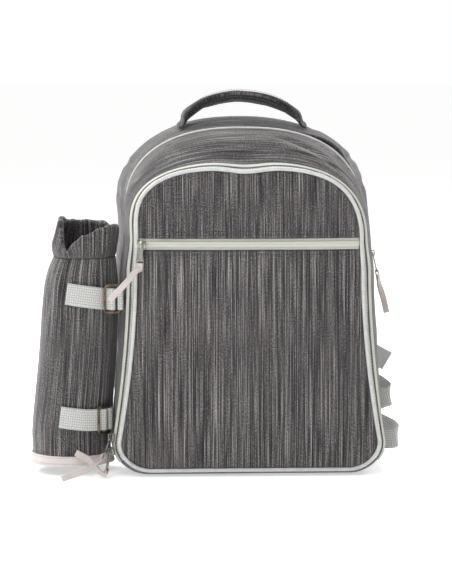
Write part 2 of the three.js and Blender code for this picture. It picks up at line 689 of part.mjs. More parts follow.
function corners(x0, y0, x1, y1) {
  const around = [[x0, y0], [x0, y1], [x1, y1], [x1, y0]];
  return around.map(([x, y]) => new THREE.Vector2(x, y));
}
const rectangle = (...sides) => new THREE.Path(corners(...sides));

// Slider, pull and ribbon. stand holds the coil's top under the slider, its normal and the way
// the zip runs. The pull hangs towards hang at the slope lift off the cloth, and trail holds the
// ribbon's points after it, from the pull's foot, as shares of RIBBON_LENGTH. The ribbon turns its
// face to the front on the way.
function zipPull(name, stand, hang, lift, trail) {
  const { foot, out, along } = stand;
  const across = out.clone().cross(along).normalize();
  const flat = hang.clone().addScaledVector(out, -hang.dot(out)).normalize();
  const turned = Math.atan2(flat.dot(across), flat.dot(along));
  const basis = new THREE.Matrix4().makeBasis(along, across, out).setPosition(foot);
  add(name + "_slider", sliderGeometry(turned), SILVER, basis);
  const eye = foot.clone().addScaledVector(out, EYE_HEIGHT);
  const down = flat.addScaledVector(out, lift).normalize();
  const wide = down.clone().cross(out).normalize();
  const up = down.clone().negate();
  const hung = new THREE.Matrix4().makeBasis(wide, up, wide.clone().cross(up)).setPosition(eye);
  add(name + "_pull", pullGeometry(PULL_LENGTH), SILVER, hung);
  const bar = eye.clone().addScaledVector(down, PULL_LENGTH - EYE_BAR / 2);
  const start = bar.clone().addScaledVector(down, 5);
  const after = trail.map(([x, y, z]) => V(x, y, z).multiplyScalar(RIBBON_LENGTH).add(bar));
  const path = [bar, start, ...smooth([start, ...after], 8).slice(1)];
  const facing = after[after.length - 1].clone().sub(bar).cross(V(0, 1, 0)).normalize();
  if (facing.dot(wide) < 0) facing.negate();
  const sides = path.map((_, i) => wide.clone().lerp(facing, i / (path.length - 1)).normalize());
  add(name + "_ribbon", hairpin(path, sides, PULL_THICKNESS + 0.9, PULL_WIDTH, RIBBON), RIBBONS);
}

const PULL_LENGTH = 24;
const COIL_TOP = ZIP_LIFT + GAP + COIL_HEIGHT;
function standOnBag(depth, turn, lift) {
  const along = bagPoint(depth, turn - 0.01).sub(bagPoint(depth, turn + 0.01)).normalize();
  const out = bagNormal(depth, turn);
  out.addScaledVector(along, -out.dot(along)).normalize();
  return { foot: onBag(depth, turn, lift + GAP), out, along };
}
function zipPulls() {
  const at = -POCKET_PULL;
  const run = onPanel(at + 5, POCKET_ZIP_HEIGHT, 0).sub(onPanel(at - 5, POCKET_ZIP_HEIGHT, 0)).normalize();
  const foot = onPanel(at, POCKET_ZIP_HEIGHT, 2 * GAP + COIL_HEIGHT - CLOTH_WALL / 2);
  const pocket = { foot, out: run.clone().cross(UP).normalize(), along: run };
  const beside = [[-0.09, -0.1, -0.13], [-0.247, -0.198, -0.31], [-0.603, -0.095, -0.69]];
  zipPull("pocket_zip", pocket, V(-0.05, 0, -1), 0.12, beside);
  const middle = (ZIP_DEPTHS[1] + ZIP_DEPTHS[2]) / 2;
  const low = standOnBag(middle, 1 - turnAtHeight(middle, LOWER_PULL), COIL_TOP);
  const loose = [[-0.12, -0.04, -0.04], [-0.36, 0.08, 0.2], [-0.61, 0.12, 0.336]];
  zipPull("front_zip_lower", low, V(0, -0.5, -0.9), 0.6, loose);
  const high = standOnBag(middle, 1 - turnAtHeight(middle, UPPER_PULL), COIL_TOP - GAP);
  const toGround = [[-0.155, -0.2, -0.15], [-0.345, -0.36, -0.235], [-0.81, -0.46, -0.385]];
  zipPull("front_zip_upper", high, V(0, -0.3, -0.95), 0.4, toGround);
  const onGroove = MAIN_SEAM + share(6.2);
  const seat = standOnBag(onGroove, turnAtHeight(onGroove, MAIN_PULL), -GAP);
  const tail = [[0.043, -0.097, -0.26], [0.12, -0.217, -0.55], [0.172, -0.31, -0.81]];
  zipPull("main_zip", seat, V(0, -0.3, -0.9), 0.12, tail);
}

// Bottle sleeve
const sleeveRow = (z) => rowAt(SLEEVE_ROWS, "height", (z - SLEEVE_LIFT) / SLEEVE_HEIGHT);
const SLEEVE_Y = (FASTENING - MAIN_SEAM) * BAG_DEPTH + SLEEVE_BEHIND;
const SLEEVE_DEPTH = MAIN_SEAM + share(SLEEVE_Y);
function sleeveAxis(z) {
  const row = sleeveRow(z);
  const side = bagPoint(SLEEVE_DEPTH, turnAtHeight(SLEEVE_DEPTH, Math.max(z, 46))).x;
  return V(-side - (row.radius + row.room) * SLEEVE_RADIUS, SLEEVE_Y, z);
}
const around = (turn) => V(Math.sin(turn * 2 * Math.PI), -Math.cos(turn * 2 * Math.PI), 0);
const onSleeve = (turn, z, lift) =>
  sleeveAxis(z).addScaledVector(around(turn), sleeveRow(z).radius * SLEEVE_RADIUS + lift);
const ROUND_SLEEVE = 24;
const NECK = SLEEVE_LIFT + SLEEVE_HEIGHT;
function bottleSleeve() {
  const heights = [0, 0.3, 0.6, 0.8, 0.92, 1];
  const wall = (lift) =>
    heights.map((h) =>
      Array.from({ length: ROUND_SLEEVE }, (_, j) =>
        onSleeve(j / ROUND_SLEEVE, SLEEVE_LIFT + h * SLEEVE_HEIGHT, lift),
      ),
    );
  add("bottle_sleeve", sheet(wall(0), wall(-SLEEVE_WALL), true), CLOTH);
  const inside = sleeveRow(SLEEVE_LIFT).radius * SLEEVE_RADIUS - SLEEVE_WALL - GAP;
  const facet = Math.cos(Math.PI / ROUND_SLEEVE);
  const disc = new THREE.CylinderGeometry(inside * facet, inside * facet, SLEEVE_WALL, ROUND_SLEEVE);
  const seat = sleeveAxis(SLEEVE_LIFT);
  disc.rotateX(Math.PI / 2).translate(seat.x, seat.y, SLEEVE_LIFT + SLEEVE_WALL / 2 + 1);
  add("bottle_base", disc, CLOTH);
  const bind = (lift) =>
    [-1, BINDING_HEIGHT].map((up, i) =>
      Array.from({ length: ROUND_SLEEVE }, (_, j) =>
        onSleeve(j / ROUND_SLEEVE, SLEEVE_LIFT + Math.max(up, 0), lift + (i ? 0 : BINDING_FLARE)).setZ(
          SLEEVE_LIFT + up,
        ),
      ),
    );
  add("bottle_binding", sheet(bind(2 * GAP + 1.3), bind(2 * GAP), true), PALE);
  collar();
}

// The collar is one roll of cloth: up the outside, over the rim and down inside.
const ROUND_COLLAR = 30;
function collar() {
  const rows = [...COLLAR_ROWS, { ...COLLAR_ROWS[0], turn: COLLAR_ROWS[0].turn + 1 }];
  const foot = NECK + GAP;
  const frames = Array.from({ length: ROUND_COLLAR }, (_, j) => {
    const turn = j / ROUND_COLLAR;
    const row = rowAt(rows, "turn", turn > 0.95 ? turn - 1 + 1e-6 : turn);
    const out = around(turn);
    const rim = Math.max(row.rim, 0.1) * COLLAR_HEIGHT;
    const neck = sleeveRow(NECK).radius * SLEEVE_RADIUS;
    const [mouth, belly] = [row.mouth * SLEEVE_RADIUS, row.belly * SLEEVE_RADIUS];
    const roll = COLLAR_THICKNESS / 2;
    const profile = [
      [neck, 0],
      [belly, rim * 0.35],
      [mouth + roll, rim - roll],
      [mouth + roll * 0.7, rim - roll * 0.2],
      [mouth, rim],
      [mouth - roll * 0.8, rim - roll * 0.6],
      [mouth - roll * 0.7, rim - roll * 1.1],
      [belly - SLEEVE_WALL - 1, rim * 0.35],
      [neck - SLEEVE_WALL, 0],
    ];
    return { p: sleeveAxis(NECK).setZ(foot), side: out, out: UP, profile };
  });
  add("bottle_collar", sweep(frames, frames[0].profile, true), CLOTH);
}

// Rings: a rounded frame with a bar up its middle, seen along out. wide is the way across it.
function ringGeometry() {
  const [w, h] = [(RING_WIDTH - RING_WIRE) / 2, (RING_HEIGHT - RING_WIRE) / 2];
  const r = 4;
  const path = [];
  for (const from of [0, 90, 180, 270]) {
    const x = (from % 270 ? -1 : 1) * (w - r);
    const z = (from < 180 ? 1 : -1) * (h - r);
    for (const a of [0, 45, 90]) {
      path.push(V(x + r * Math.cos(radians(from + a)), 0, z + r * Math.sin(radians(from + a))));
    }
  }
  const frame = solid(sweep(framesAlong(path, V(0, 1, 0), true), circle(RING_WIRE, 6), true));
  const rod = new THREE.CylinderGeometry(RING_WIRE / 2, RING_WIRE / 2, 2 * h, 6);
  const bar = solid(rod.rotateX(Math.PI / 2));
  return geometryOf(frame.add(bar));
}
const RING = ringGeometry();

// A strap sewn on the sleeve holds the ring's middle bar, and a tab sewn on the bag its right
// bar, which lies at place from the bag's side at FASTENED_AT: outwards, then backwards. The
// strap runs between two turns round the sleeve and rises by a share of WEBBING.
function sleeveFastening(name, height, place, turned, between, rise, tab) {
  const edge = bagPoint(FASTENING, turnAtHeight(FASTENING, height));
  const wide = V(Math.cos(turned), Math.sin(turned), 0);
  const out = V(Math.sin(turned), -Math.cos(turned), 0);
  const bar = V(-edge.x - place[0], edge.y + place[1], height);
  const middle = bar.clone().addScaledVector(wide, (RING_WIRE - RING_WIDTH) / 2);
  const basis = new THREE.Matrix4().makeBasis(wide, out.clone().negate(), UP).setPosition(middle);
  add(name + "_ring", RING, METAL, basis);
  const behind = RING_WIRE / 2 + 2 * WEBBING_THICKNESS + GAP;
  const left = middle.clone().addScaledVector(wide, -RING_WIDTH / 2).addScaledVector(out, -behind);
  const near = middle.clone().addScaledVector(wide, -RING_WIDTH * 0.24).addScaledVector(out, -behind * 0.6);
  const lift = WEBBING_THICKNESS + 3 * GAP;
  const rest = Array.from({ length: 7 }, (_, i) => {
    const u = i / 6;
    return onSleeve(mix(between[0], between[1], u), height + (0.02 + rise * u) * WEBBING, lift);
  });
  const strap = [middle.clone(), near, left, ...rest];
  add(name + "_strap", hairpin(strap, UP, RING_WIRE + GAP, WEBBING, WEBBING_THICKNESS), STRAPPING);
  const sewn = tab.map(([back, more]) =>
    besideBag(edge.y + back, height, WEBBING_THICKNESS + 2 * GAP + more),
  );
  add(name + "_tab", hairpin([bar, ...sewn], UP, RING_WIRE + GAP, WEBBING, WEBBING_THICKNESS), STRAPPING);
}
// Point beside the left of the bag at a distance from front to back and a height.
function besideBag(y, z, lift) {
  const at = (depth) => bagPoint(depth, turnAtHeight(depth, z));
  let depth = MAIN_SEAM;
  for (let i = 0; i < 8; i++) depth += (y - at(depth).y) / BAG_DEPTH;
  return V(-at(depth).x - lift, y, z);
}
function sleeveStraps() {
  const upperTab = [[-5.2, 4], [0.8, 2], [6.8, 0.4], [13.8, 0]];
  sleeveFastening("upper", RING_UPPER, [4.7, -12.6], radians(4), [0.085, -0.055], 0.24, upperTab);
  const lowerTab = [[9.6, 1], [14.6, 0]];
  sleeveFastening("lower", RING_LOWER, [7.2, 3.4], radians(48), [0.055, -0.045], 0.16, lowerTab);
}

// Carry handle, a flat padded strap whose ends are sewn down outside its arch. across is a share
// of HANDLE_REACH, rise of the way up to the top and lean of HANDLE_LEAN.
const HANDLE_ROWS = [
  { across: -1, rise: 0, lean: 0 },
  { across: -0.92, rise: 0.02, lean: 0 },
  { across: -0.84, rise: 0.28, lean: 0.3 },
  { across: -0.6, rise: 0.68, lean: 0.8 },
  { across: -0.22, rise: 0.97, lean: 1 },
  { across: -0.02, rise: 1, lean: 1 },
  { across: 0.32, rise: 0.86, lean: 1 },
  { across: 0.64, rise: 0.55, lean: 0.8 },
  { across: 0.84, rise: 0.24, lean: 0.3 },
  { across: 0.92, rise: 0.02, lean: 0 },
  { across: 1, rise: 0, lean: 0 },
];
const HANDLE_DEPTH = MAIN_SEAM + share(27);
function handle() {
  const top = BAG_HEIGHT + HANDLE_RISE - HANDLE_THICKNESS / 2;
  const steps = 20;
  const frames = Array.from({ length: steps + 1 }, (_, i) => {
    const row = rowAt(HANDLE_ROWS, "across", mix(-1, 1, i / steps));
    const x = HANDLE_SHIFT + mix(-1, 1, i / steps) * HANDLE_REACH;
    const right = turnAtTopX(HANDLE_DEPTH, Math.abs(x + SWAY) - SWAY);
    const turn = x + SWAY > 0 ? right : 1 - right;
    const full = THREE.MathUtils.smoothstep(row.rise, 0, 0.3);
    const thickness = mix(HANDLE_END, HANDLE_THICKNESS, full);
    const p = onBag(HANDLE_DEPTH, turn, thickness / 2 + 2 * GAP);
    const height = Math.max(row.rise, 0) * (top - p.z);
    p.add(V(0, height * Math.tan(radians(HANDLE_LEAN)), height));
    const sewn = bagPoint(HANDLE_DEPTH + 0.05, turn).sub(bagPoint(HANDLE_DEPTH - 0.05, turn)).normalize();
    const a = radians(HANDLE_LEAN) * row.lean;
    const side = sewn.lerp(V(0, Math.cos(a), -Math.sin(a)), THREE.MathUtils.clamp(row.lean, 0, 1));
    return { p, side, profile: padSection(HANDLE_WIDTH, thickness) };
  });
  const path = framesAlong(frames.map((f) => f.p), frames.map((f) => f.side));
  const made = path.map((f, i) => ({ ...f, profile: frames[i].profile }));
  add("carry_handle", sweep(made, frames[0].profile), CLOTH);
}

// Shoulder straps: a pad, a buckle under it, and webbing down to the bag's lower corner.
const BACK_FACE = BACK_SEAM_Y + BACK_PAD / 2;
function shoulderStrap(name, sign, webbingRows, freeEnd, sewnAt) {
  const clear = BACK_FACE + BACK_CROWN + PAD_THICKNESS / 2 + GAP;
  const pad = PAD_ROWS.map((r) =>
    V(sign * r.across * HALF, clear + r.off * PAD_BOW, r.up * BAG_HEIGHT),
  );
  const path = smooth(pad, 12);
  const frames = framesAlong(path, V(1, 0, 0)).map((f, i) => {
    const row = rowAt(PAD_ROWS.map((r, k) => ({ width: r.width, place: k / 6 })), "place", i / 12);
    return { ...f, profile: padSection(row.width * PAD_WIDTH, PAD_THICKNESS) };
  });
  add(name + "_pad", sweep(frames, frames[0].profile), CLOTH);

  const end = path[path.length - 1];
  const up = path[path.length - 2].clone().sub(end).normalize();
  const middle = end.clone().addScaledVector(up, -GAP - BUCKLE_LENGTH / 2);
  const wide = V(1, 0, 0).addScaledVector(up, -up.x).normalize();
  const face = wide.clone().cross(up);
  const place = new THREE.Matrix4().makeBasis(wide, up, face).setPosition(middle);
  add(name + "_buckle", buckleGeometry(), PLASTIC, place);

  const bar = middle.clone().addScaledVector(up, (BUCKLE_BAR - BUCKLE_LENGTH) / 2);
  const wrap = Math.hypot(BUCKLE_BAR, BUCKLE_THICKNESS) / 2 + GAP + WEBBING_THICKNESS;
  const beside = (down, across, off) =>
    bar.clone().addScaledVector(up, -down).addScaledVector(face, off).add(V(sign * across, 0, 0));
  const tail = freeEnd.map(([down, across, off]) =>
    beside(down * WEBBING, across * WEBBING, wrap + off * WEBBING),
  );
  const turn = [90, 45, 0, -45, -90].map((a) =>
    beside(-wrap * Math.cos(radians(a)), 0, wrap * Math.sin(radians(a))),
  );
  const away = beside(7, 0, -wrap);
  const corner = bagPoint(1, turnAtHeight(1, 60)).x;
  const rows = webbingRows.map((r) => ({
    p: V(sign * (corner + r.across * WEBBING), BACK_FACE + r.off * WEBBING, r.up * WEBBING),
    side: V(sign * (1 - r.lie), 0, r.lie).normalize(),
  }));
  const sewn = sewnAt.map(([inward, up]) => ({
    p: onBack(sign * (corner - inward * WEBBING), up * WEBBING, WEBBING_THICKNESS / 2 + 3 * GAP),
    side: rows[rows.length - 1].side,
  }));
  const known = [{ p: away, side: wide.clone().multiplyScalar(sign) }, ...rows, ...sewn];
  const steps = known.length * 3 - 3;
  const line = smooth(known.map((r) => r.p), steps);
  const sides = line.map((_, i) => {
    const place = (i / steps) * (known.length - 1);
    const k = Math.min(Math.floor(place), known.length - 2);
    return known[k].side.clone().lerp(known[k + 1].side, place - k).normalize();
  });
  const points = [...tail, ...turn, ...line];
  const across = [...tail, ...turn].map(() => sides[0]).concat(sides);
  add(name + "_webbing", sweep(framesAlong(points, across), band(WEBBING, WEBBING_THICKNESS)), STRAPPING);
}
function buckleGeometry() {
  const [w, l] = [WEBBING / 2 + 3.4, BUCKLE_LENGTH / 2];
  const shape = new THREE.Shape(corners(-w, -l, w, l).reverse());
  const slot = WEBBING / 2 + 0.6;
  shape.holes.push(rectangle(-slot, -l + BUCKLE_BAR, slot, -1));
  shape.holes.push(rectangle(-slot, BUCKLE_BAR, slot, l - BUCKLE_BAR));
  const plate = new THREE.ExtrudeGeometry(shape, { depth: BUCKLE_THICKNESS, bevelEnabled: false });
  return plate.translate(0, 0, -BUCKLE_THICKNESS / 2);
}

bagBody();
frontPanel();
pocketZip();
bagZips();
zipPulls();
bottleSleeve();
sleeveStraps();
handle();
const PLAIN_END = [[1.36, 0.12, 0.12], [0.56, 0.04, 0.08]];
const STRAY_END = [[1.04, 0.96, 0.12], [0.48, 0.28, 0.08]];
shoulderStrap("left", -1, LEFT_WEBBING, PLAIN_END, [[0.48, 1.36], [0.48, 1.04]]);
shoulderStrap("right", 1, LOOSE_WEBBING, STRAY_END, [[0.24, 0.64], [0.96, 0.68]]);

// The origin goes under the middle of the whole, on the ground.
const box = new THREE.Box3().setFromObject(backpack);
backpack.position.set(-(box.min.x + box.max.x) / 2, -(box.min.y + box.max.y) / 2, -box.min.z);

export default backpack;
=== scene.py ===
"""Cooler backpack with a detachable bottle sleeve: its cloth, trim, zips and metalwork."""

import math

import bmesh
import bpy
import numpy as np
from mathutils import Matrix, Vector


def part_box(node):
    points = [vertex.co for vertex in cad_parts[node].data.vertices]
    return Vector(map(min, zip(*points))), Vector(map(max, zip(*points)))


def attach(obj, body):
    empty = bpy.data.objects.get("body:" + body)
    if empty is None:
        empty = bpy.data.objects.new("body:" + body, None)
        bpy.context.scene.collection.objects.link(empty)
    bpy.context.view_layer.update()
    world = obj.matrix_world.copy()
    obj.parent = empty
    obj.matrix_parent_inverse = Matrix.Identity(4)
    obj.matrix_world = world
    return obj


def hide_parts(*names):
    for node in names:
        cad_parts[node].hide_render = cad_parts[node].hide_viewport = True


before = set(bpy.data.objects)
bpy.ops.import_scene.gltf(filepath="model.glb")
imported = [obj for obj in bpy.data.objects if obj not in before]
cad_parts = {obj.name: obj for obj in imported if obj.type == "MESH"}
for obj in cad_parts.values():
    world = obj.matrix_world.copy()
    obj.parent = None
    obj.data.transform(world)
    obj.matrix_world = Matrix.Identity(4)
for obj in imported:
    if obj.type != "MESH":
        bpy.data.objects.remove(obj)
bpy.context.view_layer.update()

bl_info = {
    "name": "Cooler backpack",
    "version": (1, 0, 0),
    "blender": (4, 5, 0),
    "location": "3D View > Sidebar > Cooler",
    "description": "Dresses a cooler backpack and its bottle sleeve in cloth, trim, zips and metalwork",
    "category": "Object",
}

# Sizes in millimetres, in the bag's own frame: x = 0 is its middle, y = 0 the main seam and
# z = 0 the ground. The front faces -Y.
MM = 0.001
PIPING_LOW, PIPING_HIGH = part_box("front_piping")
SEAM_LOW, SEAM_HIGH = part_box("main_piping")
ORIGIN = np.array([(PIPING_LOW.x + PIPING_HIGH.x) / 2, (SEAM_LOW.y + SEAM_HIGH.y) / 2, 0.0])

BAG_WIDTH, BAG_HEIGHT, BAG_DEPTH = 320.0, 412.0, 171.0
HALF = BAG_WIDTH / 2
CORNER_RADIUS = 36.0
CLOTH_WALL = 2.6
FRONT_CROWN, BACK_CROWN = 11.0, 5.0
BACK_PAD = 7.0
GAP = 0.35
FRONT_PIPING, MAIN_PIPING, BACK_PIPING = 4.4, 3.2, 5.0
ZIP_TAPE, ZIP_WIDTH = 1.0, 15.0
COIL_WIDTH, COIL_HEIGHT = 6.0, 1.6
ZIP_END = 5 / 48
TAPE_SEAMS = (2.2, ZIP_WIDTH - 2.2)
POCKET_ZIP_HEIGHT, POCKET_ZIP_WIDTH, POCKET_PULL = 270.0, 13.0, 124.0
LOWER_PULL, UPPER_PULL, MAIN_PULL = 31.0, 45.0, 251.0
PULL_LENGTH, PULL_THICKNESS, PULL_WIDTH = 24.0, 1.2, 7.0
EYE_HEIGHT, EYE_BAR = 4.8, 1.3
RIBBON, RIBBON_LENGTH = 0.9, 58.0
SLEEVE_RADIUS, SLEEVE_WALL, SLEEVE_HEIGHT, SLEEVE_LIFT = 47.0, 3.0, 240.0, 12.0
COLLAR_HEIGHT, COLLAR_THICKNESS = 46.0, 8.0
BINDING_HEIGHT, BINDING_FLARE = 11.0, 2.5
WEBBING, WEBBING_THICKNESS = 25.0, 1.5
RING_WIRE, RING_WIDTH, RING_HEIGHT = 2.8, 21.0, 34.0
RING_UPPER, RING_LOWER = 206.0, 65.0
HANDLE_WIDTH, HANDLE_THICKNESS, HANDLE_END = 27.0, 9.0, 3.4
HANDLE_REACH, HANDLE_RISE, HANDLE_LEAN, HANDLE_SHIFT = 76.0, 30.0, 16.0, -4.0
PAD_WIDTH, PAD_THICKNESS, PAD_BOW = 60.0, 9.0, 44.0
BUCKLE_THICKNESS, BUCKLE_BAR, BUCKLE_LENGTH = 3.6, 4.0, 26.0
MAIN_SEAM = 0.503
BASE_END, CORNER_END, SIDE_END = 0.12, 0.27, 0.58
SIDE_EASE, DIP_WIDTH = 1.8, 0.16
SWAY, SWAYED = 4.2, (0.66, 0.82)
FASTENED_AT, SLEEVE_BEHIND = 23.5, 34.5
GROOVE, GROOVE_GAPE, GROOVE_RISE = 2.4, 8.0, 0.5
UP = np.array([0.0, 0.0, 1.0])


def table(columns, rows):
    """Columns of numbers from rows of them."""
    return {name: np.array([row[i] for row in rows]) for i, name in enumerate(columns.split())}


SECTIONS = table(
    "depth lean base waist shoulder foot corner waistAt shoulderAt top power dip",
    [
        (0, 0.117, 0.938, 0.82, 0.81, 0.019, 1, 0.57, 0.657, 0.866, 3.1, 0.011),
        (0.1, 0.107, 0.982, 0.884, 0.852, 0.002, 1.1, 0.57, 0.68, 0.882, 2.6, 0.007),
        (0.298, 0.05, 1, 0.932, 0.892, -0.006, 1.2, 0.55, 0.71, 0.942, 2.4, 0),
        (MAIN_SEAM, 0, 1, 0.92, 0.866, 0.0045, 1.2, 0.55, 0.73, 0.972, 2.42, 0),
        (0.766, 0, 0.996, 0.966, 0.938, -0.006, 1.2, 0.55, 0.742, 1, 2.34, 0),
        (1, 0, 0.955, 0.926, 0.91, 0.01, 1.1, 0.55, 0.73, 0.993, 2.4, 0),
    ],
)
SLEEVE_ROWS = table(
    "height radius room",
    [
        (0, 0.97, 0.03),
        (0.3, 0.985, 0.032),
        (0.6, 0.97, 0.025),
        (0.83, 0.93, 0.04),
        (0.93, 0.86, 0.09),
        (1, 0.765, 0.17),
    ],
)
COLLAR_ROWS = table(
    "turn rim mouth belly",
    [
        (-0.05, 0.37, 0.84, 0.82),
        (0, 0.59, 0.8, 0.84),
        (0.12, 0.82, 0.8, 0.84),
        (0.21, 0.82, 0.78, 0.82),
        (0.28, 0.72, 0.76, 0.8),
        (0.38, 0.84, 0.7, 0.78),
        (0.5, 0.88, 0.66, 0.77),
        (0.62, 0.92, 0.6, 0.77),
        (0.73, 1, 0.56, 0.8),
        (0.81, 0.9, 0.6, 0.83),
        (0.86, 0.6, 0.68, 0.84),
        (0.91, 0.22, 0.8, 0.84),
        (0.95, 0.37, 0.84, 0.82),
    ],
)
PAD_ROWS = table(
    "across up off width",
    [
        (0.25, 0.935, 0.06, 1),
        (0.29, 0.88, 0.5, 1),
        (0.35, 0.79, 0.9, 1),
        (0.46, 0.68, 1, 1),
        (0.62, 0.57, 0.96, 0.96),
        (0.77, 0.46, 0.72, 0.9),
        (0.86, 0.37, 0.44, 0.8),
    ],
)
LOOSE_WEBBING = table(
    "across up off lie",
    [
        (0.08, 3.52, 0.84, 0.75),
        (0.68, 3.12, 0.72, 0.9),
        (1.12, 2.84, 0.4, 1),
        (1.16, 2.72, 0.08, 1),
        (0.76, 2.6, 0.04, 1),
        (0.12, 2.32, 0.28, 1),
        (-0.36, 2, 0.52, 0.9),
        (-0.24, 1.68, 0.88, 0.85),
        (0.48, 1.32, 0.84, 0.9),
        (1.28, 0.96, 0.56, 1),
        (1.56, 0.76, 0.2, 1),
        (1.4, 0.64, -0.12, 1),
        (0.8, 0.6, -0.04, 1),
    ],
)
LEFT_WEBBING = table(
    "across up off lie", [(-0.56, 3.84, 0.96, 0.1), (-0.52, 2.8, 0.8, 0.08), (-0.4, 1.76, 0.64, 0.05)]
)
HANDLE_ROWS = table(
    "across rise lean",
    [
        (-1, 0, 0),
        (-0.92, 0.02, 0),
        (-0.84, 0.28, 0.3),
        (-0.6, 0.68, 0.8),
        (-0.22, 0.97, 1),
        (-0.02, 1, 1),
        (0.32, 0.86, 1),
        (0.64, 0.55, 0.8),
        (0.84, 0.24, 0.3),
        (0.92, 0.02, 0),
        (1, 0, 0),
    ],
)


# Shape helpers
def mix(a, b, u):
    return a + (b - a) * u


def ease(x, low, high):
    """0 below low, 1 above high and smooth between."""
    u = np.clip((x - low) / (high - low), 0, 1)
    return u * u * (3 - 2 * u)


def bump(x, middle, width):
    return np.exp(-(((x - middle) / width) ** 2))


def unit(v):
    v = np.asarray(v, float)
    return v / np.maximum(np.linalg.norm(v, axis=-1, keepdims=True), 1e-12)


def dot(a, b):
    return np.sum(a * b, axis=-1, keepdims=True)


def point(x, y, z):
    return np.stack(np.broadcast_arrays(*(np.asarray(v, float) for v in (x, y, z))), -1)


def row_at(rows, key, at):
    """Every column of a table at a place in it, smoothly through its rows."""
    keys = rows[key]
    last = len(keys) - 1
    at = np.clip(np.asarray(at, float), keys[0], keys[last])
    i = np.clip(np.searchsorted(keys, at, side="right") - 1, 0, last - 1)
    before, after = np.maximum(i - 1, 0), np.minimum(i + 2, last)
    span = keys[i + 1] - keys[i]
    u = (at - keys[i]) / span
    made = {}
    for name, column in rows.items():
        slope_a = (column[i + 1] - column[before]) / (keys[i + 1] - keys[before]) * span
        slope_b = (column[after] - column[i]) / (keys[after] - keys[i]) * span
        made[name] = (
            (2 * u**3 - 3 * u**2 + 1) * column[i]
            + (u**3 - 2 * u**2 + u) * slope_a
            + (3 * u**2 - 2 * u**3) * column[i + 1]
            + (u**3 - u**2) * slope_b
        )
    return made


def lengths_along(points):
    """Distance from the first point to each, along the line."""
    steps = np.linalg.norm(np.diff(points, axis=0), axis=1)
    return np.concatenate([[0], np.cumsum(steps)])


def through(points, count, extra=None):
    """Smooth line of count points through a few, and anything else given for them."""
    points = np.asarray(points, float)
    place = lengths_along(points)
    rows = {"place": place}
    for i in range(3):
        rows[i] = points[:, i]
    if extra is not None:
        for i in range(3):
            rows[3 + i] = np.asarray(extra, float)[:, i]
    made = row_at(rows, "place", np.linspace(0, place[-1], count))
    line = np.stack([made[i] for i in range(3)], -1)
    if extra is None:
        return line
    return line, np.stack([made[3 + i] for i in range(3)], -1)


def cloth_noise(u, v, seed):
    """Smooth noise from -1 to 1, one lump to a unit."""
    lattice = np.random.RandomState(seed).uniform(-1, 1, (97, 89))
    u, v = np.broadcast_arrays(np.asarray(u, float), np.asarray(v, float))
    i, j = np.floor(u).astype(int), np.floor(v).astype(int)
    s, t = u - i, v - j
    s, t = s * s * (3 - 2 * s), t * t * (3 - 2 * t)
    near = mix(lattice[i % 97, j % 89], lattice[(i + 1) % 97, j % 89], s)
    far = mix(lattice[i % 97, (j + 1) % 89], lattice[(i + 1) % 97, (j + 1) % 89], s)
    return mix(near, far, t)


def distance_to(u, v, line):
    """Distance from places on a surface to a line of points on it, and the share along it."""
    best = np.full(np.shape(u), 1e9)
    share = np.zeros(np.shape(u))
    line = np.asarray(line, float)
    total = lengths_along(line)
    for k in range(len(line) - 1):
        (au, av), (bu, bv) = line[k], line[k + 1]
        span = (bu - au) ** 2 + (bv - av) ** 2
        t = np.clip(((u - au) * (bu - au) + (v - av) * (bv - av)) / span, 0, 1)
        away = np.hypot(u - au - t * (bu - au), v - av - t * (bv - av))
        nearer = away < best
        best = np.where(nearer, away, best)
        share = np.where(nearer, (total[k] + t * (total[k + 1] - total[k])) / total[-1], share)
    return best, share


def crease(u, v, line, width, depth):
    """A fold that dips along a line, with a soft lip on both sides, and dies out at its ends."""
    away, share = distance_to(u, v, line)
    ends = np.clip(4 * share * (1 - share), 0, 1) ** 0.5
    lip = 0.45 * np.exp(-(((away - 2.2 * width) / (1.3 * width)) ** 2))
    return depth * ends * (lip - np.exp(-((away / width) ** 2)))


